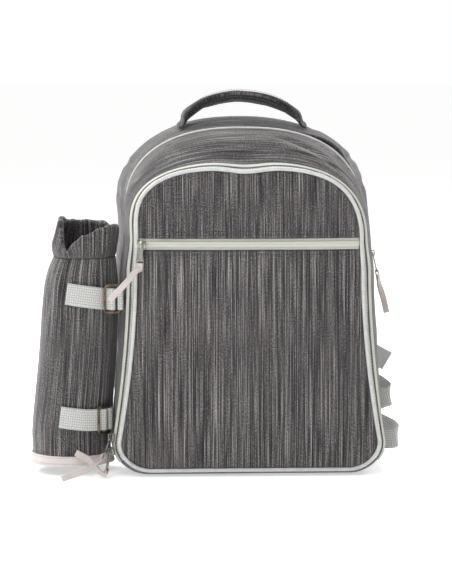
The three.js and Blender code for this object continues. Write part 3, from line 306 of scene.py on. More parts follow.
# The bag's own surface
def outline(row, turn):
    """Point of a section's outline seen from the front, anticlockwise from the middle of its base."""
    whole = turn - np.floor(turn)
    right = whole <= 0.5
    q = np.where(right, 2 * whole, 2 - 2 * whole)
    base, waist, shoulder = (row[name] * HALF for name in ("base", "waist", "shoulder"))
    foot = np.maximum(row["foot"], 0) * BAG_HEIGHT
    corner = row["corner"] * CORNER_RADIUS
    waist_z, shoulder_z, top_z = (row[n] * BAG_HEIGHT for n in ("waistAt", "shoulderAt", "top"))
    flat_x = q / BASE_END * (base - corner)
    u = np.clip((q - BASE_END) / (CORNER_END - BASE_END), 0, 1)
    slope = (base - waist) * SIDE_EASE / (waist_z - foot - corner)
    pull = 0.55 * corner
    weights = (1 - u) ** 3, 3 * u * (1 - u) ** 2, 3 * u * u * (1 - u), u**3
    xs = base - corner, base - corner + pull, base + slope * pull, base
    zs = foot, foot, foot + corner - pull, foot + corner
    corner_x = sum(w * x for w, x in zip(weights, xs))
    corner_z = sum(w * z for w, z in zip(weights, zs))
    side_z = mix(foot + corner, shoulder_z, (q - CORNER_END) / (SIDE_END - CORNER_END))
    low = np.clip((side_z - foot - corner) / (waist_z - foot - corner), 0, 1)
    side_x = np.where(
        side_z < waist_z,
        waist + (base - waist) * (1 - low) ** SIDE_EASE,
        mix(waist, shoulder, ease(side_z, waist_z, shoulder_z)),
    )
    angle = np.clip((q - SIDE_END) / (1 - SIDE_END), 0, 1) * (math.pi / 2)
    power = 2 / row["power"]
    arch_x = shoulder * np.maximum(np.cos(angle), 0) ** power
    arch_z = shoulder_z + (top_z - shoulder_z) * np.sin(angle) ** power
    arch_z = arch_z - row["dip"] * BAG_HEIGHT * np.exp(-((arch_x / (DIP_WIDTH * HALF)) ** 2))
    parts = [q <= BASE_END, q <= CORNER_END, q <= SIDE_END]
    x = np.select(parts, [flat_x, corner_x, side_x], arch_x)
    z = np.select(parts, [foot + 0 * q, corner_z, side_z], arch_z)
    return np.where(right, x, -x) - SWAY * ease(z / BAG_HEIGHT, *SWAYED), z


def bag_point(depth, turn):
    depth, turn = np.broadcast_arrays(np.asarray(depth, float), np.asarray(turn, float))
    row = row_at(SECTIONS, "depth", np.clip(depth, 0, 1))
    x, z = outline(row, turn)
    lean = row["lean"] * BAG_DEPTH * np.clip(z / BAG_HEIGHT, 0, 1) ** 1.6
    return point(x, (depth - MAIN_SEAM) * BAG_DEPTH + lean, z)


def bag_normal(depth, turn):
    along = bag_point(depth + 0.02, turn) - bag_point(depth - 0.02, turn)
    around = bag_point(depth, turn + 0.006) - bag_point(depth, turn - 0.006)
    return unit(np.cross(along, around))


def on_bag(depth, turn, lift):
    return bag_point(depth, turn) + bag_normal(depth, turn) * np.asarray(lift)[..., None]


def turn_where(depth, reached):
    low, high = 0.0, 0.5
    for _ in range(30):
        middle = (low + high) / 2
        if reached(bag_point(depth, middle)):
            high = middle
        else:
            low = middle
    return low


def turn_at_height(depth, z):
    return turn_where(depth, lambda p: p[2] > z)


def turn_at_top(depth, x):
    return turn_where(depth, lambda p: p[2] > BAG_HEIGHT / 2 and p[0] < x)


def share(mm):
    return mm / BAG_DEPTH


FRONT_EDGE = share(FRONT_PIPING / 2 + GAP)
ZIP_DEPTHS = [
    FRONT_EDGE + share(mm)
    for mm in (0, (ZIP_WIDTH - COIL_WIDTH) / 2, (ZIP_WIDTH + COIL_WIDTH) / 2, ZIP_WIDTH)
]
MAIN_BEFORE = MAIN_SEAM - share(MAIN_PIPING / 2 + GAP)
BACK_EDGE = 1 - share(BACK_PIPING / 2 + GAP)


def groove(turn):
    """Depth where the back gusset starts, behind the main zip's groove."""
    turn = np.asarray(turn, float) % 1
    opened = GROOVE * ease(np.minimum(turn, 1 - turn), 0.07, 0.14)
    return MAIN_SEAM + share(MAIN_PIPING / 2 + GAP + opened + gape(turn))


def gape(turn):
    """How much wider the groove stands open at the upper right."""
    return GROOVE_GAPE * bump(np.asarray(turn, float) % 1, 0.395, 0.035)


def seam_y(depth, z):
    row = row_at(SECTIONS, "depth", depth)
    return (depth - MAIN_SEAM) * BAG_DEPTH + row["lean"] * BAG_DEPTH * np.clip(z / BAG_HEIGHT, 0, 1) ** 1.6


class Panel:
    """Face that closes an end of the bag, with its bulge towards facing."""

    def __init__(self, depth, inset, crown, facing):
        self.depth, self.inset, self.crown, self.facing = depth, inset, crown, facing
        self.middle = (bag_point(depth, 0.0)[2] + bag_point(depth, 0.5)[2]) / 2
        rim = bag_point(depth, np.linspace(0, 0.5, 2001))
        angles = np.arctan2(rim[:, 2] - self.middle, rim[:, 0])
        order = np.argsort(angles)
        self.angles = angles[order]
        self.reaches = np.hypot(rim[:, 0], rim[:, 2] - self.middle)[order] - inset

    def edge(self, turn):
        along = bag_point(self.depth, turn + 0.004) - bag_point(self.depth, turn - 0.004)
        inward = unit(point(-along[..., 2], 0 * along[..., 2], along[..., 0]))
        return bag_point(self.depth, turn) + inward * self.inset

    def y(self, x, z, lift=0.0):
        up = z - self.middle
        reach = np.interp(np.arctan2(up, np.abs(x)), self.angles, self.reaches)
        r = np.minimum(np.hypot(x, up) / reach, 1)
        return seam_y(self.depth, z) + self.facing * (self.crown * (1 - r**2.2) + lift)

    def at(self, x, z, lift=0.0):
        return point(x, self.y(x, z, lift), z)

    def half_width(self, z):
        return bag_point(self.depth, turn_at_height(self.depth, z))[0] - self.inset

    def places(self, columns, rows):
        """Even grid of places over the whole panel, as seen from the front."""
        low, high = 0.0975, 0.39
        s, t = np.linspace(0, 1, columns), np.linspace(0, 1, rows)
        base = self.edge(mix(-low, low, s))[:, [0, 2]]
        top = self.edge(mix(1 - high, high, s))[:, [0, 2]]
        right = self.edge(mix(low, high, t))[:, [0, 2]]
        left = self.edge(mix(1 - low, 1 - high, t))[:, [0, 2]]
        s, t = s[None, :, None], t[:, None, None]
        corners = (
            (1 - s) * (1 - t) * base[0] + s * (1 - t) * base[-1] + (1 - s) * t * top[0] + s * t * top[-1]
        )
        sides = (1 - s) * left[:, None] + s * right[:, None]
        made = (1 - t) * base[None] + t * top[None] + sides - corners
        return made[..., 0], made[..., 1]


FRONT = Panel(0, FRONT_PIPING / 2 + GAP, FRONT_CROWN, -1)
BACK = Panel(1, BACK_PIPING / 2 + GAP, BACK_CROWN, 1)


def on_panel(x, z, lift):
    return FRONT.at(x, z, CLOTH_WALL / 2 + lift)


def on_back(x, z, lift):
    return BACK.at(x, z, BACK_PAD / 2 + lift)


# Meshes. A made mesh is its points, faces and one thread place to each face corner, in
# millimetres: across the thread, then along it.
def joined(parts):
    points, faces, threads, start = [], [], [], 0
    for p, f, t in parts:
        points.append(p)
        faces += [[i + start for i in face] for face in f]
        threads.append(t)
        start += len(p)
    return np.concatenate(points), faces, np.concatenate(threads)


def grid_faces(rows, columns, closed):
    i, j = np.meshgrid(np.arange(rows - 1), np.arange(columns - (not closed)), indexing="ij")
    k = (j + 1) % columns
    faces = np.stack([i * columns + j, (i + 1) * columns + j, (i + 1) * columns + k, i * columns + k], -1)
    wide = columns + closed
    threads = np.stack([i * wide + j, (i + 1) * wide + j, (i + 1) * wide + j + 1, i * wide + j + 1], -1)
    return faces.reshape(-1, 4), threads.reshape(-1, 4)


def shell(outer, inner, closed, thread):
    """Closed sheet of cloth between two grids of points. thread has a column more if closed."""
    rows, columns = outer.shape[:2]
    size = rows * columns
    points = np.concatenate([outer.reshape(-1, 3), inner.reshape(-1, 3)])
    top, places = grid_faces(rows, columns, closed)
    flat = thread.reshape(-1, 2)
    faces = [top, top[:, ::-1] + size]
    threads = [flat[places].reshape(-1, 2), flat[places[:, ::-1]].reshape(-1, 2)]
    wide = thread.shape[1]

    def edge(line, place):
        here, there = line[:-1], line[1:]
        a, b = place[:-1], place[1:]
        faces.append(np.stack([here, there, there + size, here + size], -1))
        threads.append(flat[np.stack([a, b, b, a], -1)].reshape(-1, 2))

    around = np.arange(columns + closed) % columns
    across = np.arange(columns + closed)
    edge(around, across)
    edge((around + (rows - 1) * columns)[::-1], (across + (rows - 1) * wide)[::-1])
    if not closed:
        down = np.arange(rows)
        edge(down[::-1] * columns, down[::-1] * wide)
        edge(down * columns + columns - 1, down * wide + wide - 1)
    return points, np.concatenate(faces).tolist(), np.concatenate(threads)


def sweep(points, side, out, profile, closed=False):
    """Solid along a line. profile is one closed outline, or one for each point of the line."""
    profile = np.asarray(profile, float)
    if profile.ndim == 2:
        profile = np.broadcast_to(profile, (len(points), *profile.shape))
    rings = points[:, None] + side[:, None] * profile[..., :1] + out[:, None] * profile[..., 1:]
    count, n = rings.shape[:2]
    run = points if not closed else np.concatenate([points, points[:1]])
    along = lengths_along(run)
    across = np.concatenate([profile[0, :, 0], profile[0, :1, 0]])
    if closed:
        rings_t = rings.transpose(1, 0, 2)
        rings_t = np.concatenate([rings_t, rings_t[:1]])
        faces, places = grid_faces(n + 1, count, True)
        faces = faces % (n * count)
        thread = np.stack(np.broadcast_arrays(across[:, None], along[None, :]), -1).reshape(-1, 2)
        return rings_t[:n].reshape(-1, 3), faces.tolist(), thread[places].reshape(-1, 2)
    faces, places = grid_faces(count, n, True)
    thread = np.stack(np.broadcast_arrays(across[None, :], along[:, None]), -1).reshape(-1, 2)
    faces, threads = faces.tolist(), [thread[places].reshape(-1, 2)]
    faces += [list(range(n)), list(range((count - 1) * n, count * n))[::-1]]
    threads += [np.stack([across[:-1], 0 * across[:-1]], -1)]
    threads += [np.stack([across[:-1], 0 * across[:-1] + along[-1]], -1)[::-1]]
    return rings.reshape(-1, 3), faces, np.concatenate(threads)


def frames_along(points, side, closed=False):
    points = np.asarray(points, float)
    side = np.broadcast_to(np.asarray(side, float), points.shape)
    if closed:
        along = np.roll(points, -1, 0) - np.roll(points, 1, 0)
    else:
        along = np.gradient(points, axis=0)
    along = unit(along)
    side = unit(side - along * dot(side, along))
    return points, side, unit(np.cross(along, side))


def circle(diameter, sides):
    a = (np.arange(sides) + 0.5) / sides * 2 * math.pi
    return np.stack([np.cos(a), np.sin(a)], -1) * diameter / 2


def strap_section(width, thickness, columns=13):
    """Woven strap: flat faces, rounded selvedges and a slight hollow down its middle."""
    w, t = width / 2, thickness / 2
    a = np.linspace(-1, 1, columns)
    x = w * np.sin(a * math.pi / 2 * 0.985)
    rise = t * (1 - 0.1 * np.cos(a * math.pi / 2) ** 2) * np.clip((1 - np.abs(a) ** 14), 0.25, 1)
    return np.concatenate([np.stack([x, -rise], -1), np.stack([x[::-1], rise[::-1]], -1)])


def pad_section(width, thickness, count=9):
    """Padded strap: crowned faces that thin towards bound edges."""
    w, t = width / 2, thickness / 2
    a = np.linspace(-1, 1, count)
    rise = t * (1 - 0.62 * np.abs(a) ** 4)
    return np.concatenate([np.stack([a * w, -rise], -1), np.stack([a[::-1] * w, rise[::-1]], -1)])


def new_object(name, mesh, material):
    mesh.materials.clear()
    mesh.materials.append(material)
    obj = bpy.data.objects.new(name, mesh)
    bpy.context.scene.collection.objects.link(obj)
    return obj


def make(name, made, material, replaces=()):
    """Object from a made mesh, riding on the bag."""
    points, faces, threads = made
    mesh = bpy.data.meshes.new(name)
    mesh.from_pydata((np.asarray(points) * MM + ORIGIN).tolist(), [], faces)
    layer = mesh.uv_layers.new(name="thread")
    layer.data.foreach_set("uv", np.asarray(threads, np.float32).ravel())
    tidy(mesh)
    mesh.polygons.foreach_set("use_smooth", [True] * len(mesh.polygons))
    obj = new_object(name, mesh, material)
    return dressed(obj, replaces)


def tidy(mesh):
    """Faces all turned outwards, with nothing collapsed."""
    work = bmesh.new()
    work.from_mesh(mesh)
    bmesh.ops.remove_doubles(work, verts=work.verts, dist=1e-6)
    bmesh.ops.dissolve_degenerate(work, edges=work.edges, dist=1e-7)
    bmesh.ops.recalc_face_normals(work, faces=work.faces)
    work.to_mesh(mesh)
    work.free()
    mesh.update()


def dressed(obj, replaces=()):
    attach(obj, "root")
    if replaces:
        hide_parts(*([replaces] if isinstance(replaces, str) else replaces))
    return obj


def apply_modifiers(obj):
    graph = bpy.context.evaluated_depsgraph_get()
    mesh = bpy.data.meshes.new_from_object(obj.evaluated_get(graph))
    obj.modifiers.clear()
    old, obj.data = obj.data, mesh
    bpy.data.meshes.remove(old)
    return obj


def copy_of(node, name, material, bevel):
    """The node's own shape with its edges eased, standing for it."""
    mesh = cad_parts[node].data.copy()
    work = bmesh.new()
    work.from_mesh(mesh)
    bmesh.ops.remove_doubles(work, verts=work.verts, dist=2e-6)
    bmesh.ops.dissolve_limit(work, angle_limit=math.radians(2), verts=work.verts, edges=work.edges)
    bmesh.ops.recalc_face_normals(work, faces=work.faces)
    work.to_mesh(mesh)
    work.free()
    obj = new_object(name, mesh, material)
    rounding = obj.modifiers.new("eased", "BEVEL")
    rounding.width = bevel * MM
    rounding.segments = 2
    rounding.limit_method = "ANGLE"
    rounding.angle_limit = math.radians(25)
    apply_modifiers(obj)
    obj.data.polygons.foreach_set("use_smooth", [True] * len(obj.data.polygons))
    obj.data.set_sharp_from_angle(angle=math.radians(40))
    return dressed(obj, node)


def stitches(line, out, length=2.6, gap=0.9, radius=0.32, sink=0.1):
    """Row of stitches along a line of points, lying on the cloth whose normal is out."""
    line, out = np.asarray(line, float), np.broadcast_to(np.asarray(out, float), np.shape(line))
    place = lengths_along(line)
    starts = np.arange(gap, place[-1] - length, length + gap)

    def at(values, s):
        return np.stack([np.interp(s, place, values[:, i]) for i in range(3)], -1)

    a, b, up = at(line, starts), at(line, starts + length), unit(at(out, starts + length / 2))
    along = unit(b - a)
    side = unit(np.cross(up, along))
    up = np.cross(along, side)
    angles = np.arange(6) / 6 * 2 * math.pi
    rings = []
    for t, r in ((0, 0.4), (0.14, 1), (0.86, 1), (1, 0.4)):
        centre = a + (b - a) * t + up * (radius * (0.35 if 0 < t < 1 else -0.3) - sink)
        ring = side[:, None] * np.cos(angles)[:, None] + up[:, None] * np.sin(angles)[:, None] * 0.8
        rings.append(centre[:, None] + ring * r * radius)
    points = np.stack(rings, 1).reshape(-1, 3)
    quads, _ = grid_faces(4, 6, True)
    block = quads.tolist() + [list(range(6)), list(range(18, 24))[::-1]]
    faces = [[i + 24 * k for i in face] for k in range(len(starts)) for face in block]
    corners = sum(len(face) for face in block) * len(starts)
    return points, faces, np.zeros((corners, 2))


# Finishes
class Nodes:
    """Adds nodes to a node tree."""

    def __init__(self, tree):
        self.tree = tree

    def node(self, kind, settings=None, inputs=None, output=0):
        made = self.tree.nodes.new("ShaderNode" + kind)
        for key, value in (settings or {}).items():
            setattr(made, key, value)
        for key, value in (inputs or {}).items():
            if isinstance(value, bpy.types.NodeSocket):
                self.tree.links.new(value, made.inputs[key])
            else:
                made.inputs[key].default_value = value
        return made.outputs[output]

    def math(self, operation, *values):
        return self.node("Math", {"operation": operation}, dict(enumerate(values)))


class Finish(Nodes):
    """A node material with one Principled shader."""

    def __init__(self, name, **sockets):
        self.material = bpy.data.materials.new(name)
        self.material.use_nodes = True
        super().__init__(self.material.node_tree)
        self.tree.nodes.clear()
        out = self.tree.nodes.new("ShaderNodeOutputMaterial")
        self.shader = self.tree.nodes.new("ShaderNodeBsdfPrincipled")
        self.tree.links.new(self.shader.outputs["BSDF"], out.inputs["Surface"])
        for key, value in sockets.items():
            self.shader.inputs[key.replace("_", " ")].default_value = value

    def thread(self):
        return self.node("UVMap", {"uv_map": "thread"})

    def place(self):
        """Object coordinates in millimetres."""
        made = self.node("TexCoord", output="Object")
        return self.node("VectorMath", {"operation": "SCALE"}, {0: made, "Scale": 1 / MM})

    def noise(self, vector, size, detail=2.0, roughness=0.55):
        """Noise whose lumps are size millimetres along each axis, from 0 to 1."""
        scaled = self.node("Mapping", {}, {"Vector": vector, "Scale": [1 / s for s in size]})
        inputs = {"Vector": scaled, "Scale": 1.0, "Detail": detail, "Roughness": roughness}
        return self.node("TexNoise", {}, inputs, "Fac")

    def sum(self, *terms):
        """Weighted sum of values."""
        total = None
        for value, weight in terms:
            term = self.math("MULTIPLY", value, weight)
            total = term if total is None else self.math("ADD", total, term)
        return total

    def ramp(self, value, stops):
        made = self.tree.nodes.new("ShaderNodeValToRGB")
        self.tree.links.new(value, made.inputs["Fac"])
        elements = made.color_ramp.elements
        while len(elements) < len(stops):
            elements.new(0.5)
        for element, (place, colour) in zip(elements, stops):
            element.position = place
            element.color = (*colour[:3], 1)
        return made.outputs["Color"]

    def split(self, vector):
        made = self.tree.nodes.new("ShaderNodeSeparateXYZ")
        self.tree.links.new(vector, made.inputs[0])
        return made.outputs

    def colour(self, socket):
        self.tree.links.new(socket, self.shader.inputs["Base Color"])

    def roughness(self, value, low, high):
        ranged = self.node("MapRange", {}, {"Value": value, "To Min": low, "To Max": high})
        self.tree.links.new(ranged, self.shader.inputs["Roughness"])

    def relief(self, height, depth, strength=1.0):
        inputs = {"Height": height, "Distance": depth * MM, "Strength": strength}
        made = self.node("Bump", {}, inputs, "Normal")
        self.tree.links.new(made, self.shader.inputs["Normal"])
        return self.material


def linear(hexadecimal):
    """Scene colour of a swatch."""
    made = []
    for i in (0, 2, 4):
        c = int(hexadecimal[i : i + 2], 16) / 255
        made.append(c / 12.92 if c <= 0.04045 else ((c + 0.055) / 1.055) ** 2.4)
    return tuple(made)


def scaled(colour, by):
    return tuple(min(c * by, 1) for c in colour[:3])


_finishes = {}


def finish(name, build, *values):
    """A finish is made once and shared."""
    if name not in _finishes:
        _finishes[name] = build(name, *values)
    return _finishes[name]


def heather(name, looks, painted_shade=1.0):
    """Charcoal cloth: pale and dark warp threads in streaks, with a fine weft across them. The last argument
    darkens every thread colour: painted shade for a piece that sits in shadow.
    """
    f = Finish(name, Roughness=0.88, Sheen_Weight=0.3, Sheen_Roughness=0.4, Specular_IOR_Level=0.3)
    at = f.thread()
    wide, run = looks.streak_width / MM, looks.streak_length / MM

    def size(across, along):
        return across, along, across

    fine = f.noise(at, size(wide, run), 2, 0.6)
    thin_lines = f.noise(at, size(wide * 0.5, run * 0.35), 1, 0.5)
    broken = f.noise(at, size(wide * 0.55, wide * 1.3), 1, 0.5)
    broad = f.noise(at, size(wide * 4.5, run * 2.5), 1, 0.5)
    value = f.sum((fine, 0.36), (thin_lines, 0.24), (broken, 0.32), (broad, 0.08))
    threads = (looks.thread_dark, looks.thread_middle, looks.thread_light)
    # Scaling by the last argument paints shade into every thread colour.
    dark, middle, light = (scaled(c, painted_shade) for c in threads)
    stops = [(0.42, dark), (0.48, mix_colour(dark, middle, 0.7)), (0.525, middle), (0.59, light)]
    base = f.ramp(value, stops)
    tint = f.noise(at, size(wide * 2.3, run * 2), 1, 0.5)
    warm = f.node("MapRange", {}, {"Value": tint, "From Min": 0.4, "From Max": 0.65, "To Max": 0.35})
    warmed = f.node(
        "Mix",
        {"data_type": "RGBA", "blend_type": "MULTIPLY"},
        {0: warm, 6: base, 7: (1.06, 0.93, 0.97, 1)},
        2,
    )
    f.colour(warmed)
    parts = f.split(at)
    weft = f.math("SINE", f.math("MULTIPLY", parts[1], 2 * math.pi / 0.9))
    warp = f.math("SINE", f.math("MULTIPLY", parts[0], 2 * math.pi / 0.75))
    weave = f.math("MULTIPLY", weft, warp)
    f.roughness(fine, 0.78, 0.95)
    return f.relief(f.sum((fine, 0.7), (broken, 0.6), (weave, 0.22)), 0.3, 0.7)


def mix_colour(a, b, u):
    return tuple(mix(x, y, u) for x, y in zip(a[:3], b[:3]))


def plain_weave(name, colour, pitch=0.8, contrast=0.12):
    """Fine plain cloth, such as piping."""
    f = Finish(name, Roughness=0.7, Sheen_Weight=0.1)
    parts = f.split(f.thread())
    over = f.math("SINE", f.math("MULTIPLY", parts[0], 2 * math.pi / pitch))
    under = f.math("SINE", f.math("MULTIPLY", parts[1], 2 * math.pi / pitch))
    weave = f.math("MULTIPLY", over, under)
    cloudy = f.noise(f.thread(), (4, 7, 4), 3)
    value = f.sum((weave, 0.16), (cloudy, 1.0))
    f.colour(f.ramp(value, [(0.3, scaled(colour, 1 - contrast)), (0.7, scaled(colour, 1 + contrast / 2))]))
    f.roughness(cloudy, 0.55, 0.8)
    return f.relief(f.sum((weave, 0.5), (cloudy, 0.3)), 0.16, 0.6)


def basket_weave(name, colour, pitch=(2.9, 2.5), contrast=0.5):
    """Webbing: plump yarns that pass over and under each other in a checker."""
    f = Finish(name, Roughness=0.72, Sheen_Weight=0.12)
    parts = f.split(f.thread())
    over = f.math("SINE", f.math("MULTIPLY", parts[0], math.pi / pitch[0]))
    under = f.math("SINE", f.math("MULTIPLY", parts[1], math.pi / pitch[1]))
    cell = f.math("MULTIPLY", over, under)
    plump = f.math("ABSOLUTE", cell)
    yarn = f.noise(f.thread(), (0.5, 2.2, 1), 2)
    value = f.sum((plump, 0.62), (cell, 0.14), (yarn, 0.3))
    stops = [(0.1, scaled(colour, 1 - contrast)), (0.45, colour), (0.8, scaled(colour, 1.1))]
    f.colour(f.ramp(value, stops))
    f.roughness(yarn, 0.6, 0.85)
    return f.relief(f.sum((plump, 1.0), (yarn, 0.15)), 0.5, 0.8)


def ribbed(name, colour, pitch=1.1, contrast=0.16, along=True):
    """Tape or ribbon with fine ribs across or along it."""
    f = Finish(name, Roughness=0.6, Sheen_Weight=0.2)
    parts = f.split(f.thread())
    rib = f.math("SINE", f.math("MULTIPLY", parts[1 if along else 0], 2 * math.pi / pitch))
    yarn = f.noise(f.thread(), (1.2, 0.6, 1) if along else (0.6, 1.2, 1), 2)
    value = f.sum((rib, 0.2), (yarn, 1.0))
    f.colour(f.ramp(value, [(0.25, scaled(colour, 1 - contrast)), (0.75, scaled(colour, 1 + contrast / 2))]))
    f.roughness(yarn, 0.5, 0.75)
    return f.relief(f.sum((rib, 0.6), (yarn, 0.3)), 0.2, 0.7)


def tape_with_painted_shade(name, colour, dark):
    """Zip tape with painted shade along it: a dark band beside and under its coil, a darker strip at its
    outer edge and the dark zip's colour at its inner edge.
    """
    f = Finish(name, Roughness=0.65, Sheen_Weight=0.2)
    parts = f.split(f.thread())
    across = f.math("DIVIDE", parts[0], ZIP_WIDTH)
    beside = (ZIP_WIDTH - COIL_WIDTH) / 2 / ZIP_WIDTH
    # line is the colour of the painted shadow beside the coil, and low is where that shadow starts across
    # the tape; the first and last stops paint shade at the tape's edges.
    line, low = scaled(colour, 0.12), beside - 0.035
    stops = [
        (0.0, scaled(colour, 0.3)),
        (0.05, colour),
        (low - 0.03, colour),
        (low, line),
        (1 - low, line),
        (1.03 - low, colour),
        (0.94, colour),
        (1.0, scaled(dark, 1.5)),
    ]
    f.colour(f.ramp(across, stops))
    rib = f.math("SINE", f.math("MULTIPLY", parts[1], 2 * math.pi / 1.2))
    yarn = f.noise(f.thread(), (1.2, 0.6, 1), 2)
    f.roughness(yarn, 0.5, 0.75)
    return f.relief(f.sum((rib, 0.6), (yarn, 0.3)), 0.2, 0.7)


def worn_metal(name, bright, dull, rough):
    """Plated metal with tarnish in it and fine scratches."""
    f = Finish(name, Metallic=1.0)
    at = f.place()
    tarnish = f.noise(at, (5, 5, 5), 4, 0.6)
    scratch = f.noise(at, (0.4, 3.5, 6), 2, 0.5)
    f.colour(f.ramp(tarnish, [(0.35, dull), (0.62, bright)]))
    f.roughness(f.sum((tarnish, 0.6), (scratch, 0.4)), rough, rough + 0.25)
    return f.relief(scratch, 0.03, 0.5)


def moulded(name, colour):
    """Moulded plastic with a fine spark-eroded grain."""
    f = Finish(name, Roughness=0.5)
    at = f.place()
    grain = f.noise(at, (0.35, 0.35, 0.35), 2)
    cloudy = f.noise(at, (9, 9, 9), 2)
    f.colour(f.ramp(cloudy, [(0.3, scaled(colour, 0.88)), (0.7, scaled(colour, 1.08))]))
    f.roughness(cloudy, 0.38, 0.55)
    return f.relief(grain, 0.04, 0.5)


# Sizes and colours that a user would change
def swatch(name, hexadecimal):
    return bpy.props.FloatVectorProperty(
        name=name,
        description=f"Colour of the {name.lower()}",
        subtype="COLOR",
        size=3,
        min=0,
        max=1,
        default=linear(hexadecimal),
    )


def length(name, description, millimetres):
    return bpy.props.FloatProperty(
        name=name, description=description, default=millimetres * MM, min=0, unit="LENGTH", precision=5
    )


class CoolerClothLooks(bpy.types.PropertyGroup):
    """Charcoal cloth and the way it creases."""

    thread_dark: swatch("Dark warp thread", "100f10")
    thread_middle: swatch("Middle warp thread", "484546")
    thread_light: swatch("Pale warp thread", "a09d9b")
    streak_width: length("Streak width", "Width of one warp streak", 1.15)
    streak_length: length("Streak length", "How far a warp streak runs", 150)
    pucker: length("Pucker", "Height of the puckers beside a seam", 0.55)


class CoolerTrimLooks(bpy.types.PropertyGroup):
    """Piping, zips, webbing and ribbons."""

    piping: swatch("Piping", "c6c7c5")
    tape: swatch("Zip tape", "b9bab3")
    coil: swatch("Zip coil", "c8c8be")
    webbing: swatch("Webbing", "c2c3c0")
    ribbon: swatch("Zip ribbon", "c6bcb8")
    binding: swatch("Bottle binding", "d3c9c7")
    back: swatch("Back padding", "b4b4b2")
    dark: swatch("Dark zip", "17171a")
    thread: swatch("Topstitching", "1c191c")
    nickel: swatch("Zip slider", "b7b6ac")
    bronze: swatch("Ring", "7d6c5a")
    buckle: swatch("Buckle", "8b8c8a")


class CoolerPadding(bpy.types.PropertyGroup):
    """How padded straps are filled."""

    voxel: length("Voxel", "Mesh size while a pad is filled", 3)
    room: length("Room to swell", "How far the cloth of a pad may move", 2.4)
    pressure: bpy.props.FloatProperty(
        name="Pressure", description="Pressure that fills a pad", default=4, min=0, max=20
    )


class CoolerStage(bpy.types.PropertyGroup):
    """Floor, light and camera."""

    floor: swatch("Floor", "f4f4f3")
    key: bpy.props.FloatProperty(
        name="Key light", description="Power that the large lights share", default=42, min=0, unit="POWER"
    )
    sky: bpy.props.FloatProperty(
        name="Sky", description="Strength of the soft light all round", default=0.4, min=0, max=5
    )
    distance: length("Camera distance", "From the camera to the middle of the bag", 2800)


def looks_of(context):
    return context.scene.cooler_cloth


def trim_of(context):
    return context.scene.cooler_trim


# The two compartments
def wall(depths, turns, relief, lift=0.0, thickness=CLOTH_WALL, closed=True):
    """Wall of the bag: depths is a grid of places by turns, relief the height of its creases."""
    across = lengths_along(bag_point(depths[:, 0], 0.25 + 0 * depths[:, 0]))
    around = lengths_along(bag_point(0.4, np.append(turns, 1.0) if closed else turns))
    face = bag_point(depths, turns[None])
    normal = bag_normal(depths, turns[None] + 0 * depths)
    height = relief(depths, turns[None] + 0 * depths, face)
    outer = face + normal * (lift + thickness + height)[..., None]
    inner = face + normal * (lift + 0.8 * height)[..., None]
    thread = np.stack(np.broadcast_arrays(across[:, None], around[None, :]), -1)
    return shell(outer, inner, closed, thread)


def seam_pucker(away, run, height, seed):
    """Little ripples that a seam pulls into the cloth, fading away from it."""
    small = cloth_noise(run / 5.5, away / 14, seed)
    wide = cloth_noise(run / 17, away / 22, seed + 1)
    return height * (0.6 * small + 0.9 * wide) * np.exp(-away / 9)


# Creases of the front gusset: turn and depth of each point of the line, then width and depth in
# millimetres. Places are seen from the front, turns anticlockwise from the middle of the base.
FRONT_CREASES = [
    ([(0.475, 0.36), (0.447, 0.30), (0.42, 0.255), (0.392, 0.2)], 4.5, 2.2),
    ([(0.395, 0.46), (0.38, 0.4), (0.362, 0.33)], 4, 1.6),
    ([(0.36, 0.45), (0.345, 0.38), (0.335, 0.3)], 5, 1.5),
    ([(0.3, 0.44), (0.29, 0.36), (0.283, 0.28)], 6, 1.3),
    ([(0.56, 0.24), (0.575, 0.32), (0.585, 0.42)], 6, 1.2),
    ([(0.635, 0.25), (0.65, 0.33), (0.66, 0.43)], 5, 1.5),
    ([(0.7, 0.22), (0.705, 0.32), (0.715, 0.43)], 6, 1.3),
    ([(0.8, 0.24), (0.803, 0.34), (0.81, 0.44)], 7, 1.1),
    ([(0.19, 0.2), (0.2, 0.3), (0.21, 0.42)], 6, 1.1),
    ([(0.12, 0.24), (0.13, 0.33), (0.138, 0.44)], 6, 1.1),
    ([(0.88, 0.22), (0.872, 0.33), (0.868, 0.44)], 6, 1.1),
]
BACK_CREASES = [
    ([(0.44, 0.62), (0.43, 0.72), (0.424, 0.84)], 6, 1.3),
    ([(0.37, 0.6), (0.36, 0.72), (0.355, 0.86)], 6, 1.7),
    ([(0.31, 0.6), (0.318, 0.7), (0.32, 0.82)], 7, 1.4),
    ([(0.24, 0.62), (0.236, 0.75), (0.23, 0.88)], 7, 1.2),
    ([(0.16, 0.58), (0.165, 0.7), (0.172, 0.84)], 7, 1.2),
    ([(0.56, 0.62), (0.57, 0.72), (0.575, 0.84)], 6, 1.2),
    ([(0.64, 0.6), (0.65, 0.72), (0.652, 0.86)], 6, 1.6),
    ([(0.7, 0.58), (0.694, 0.7), (0.69, 0.84)], 7, 1.3),
    ([(0.77, 0.6), (0.774, 0.74), (0.782, 0.88)], 7, 1.2),
    ([(0.85, 0.6), (0.846, 0.72), (0.84, 0.85)], 7, 1.1),
]
ROUND = 1250.0  # millimetres round the bag, near enough to space its creases


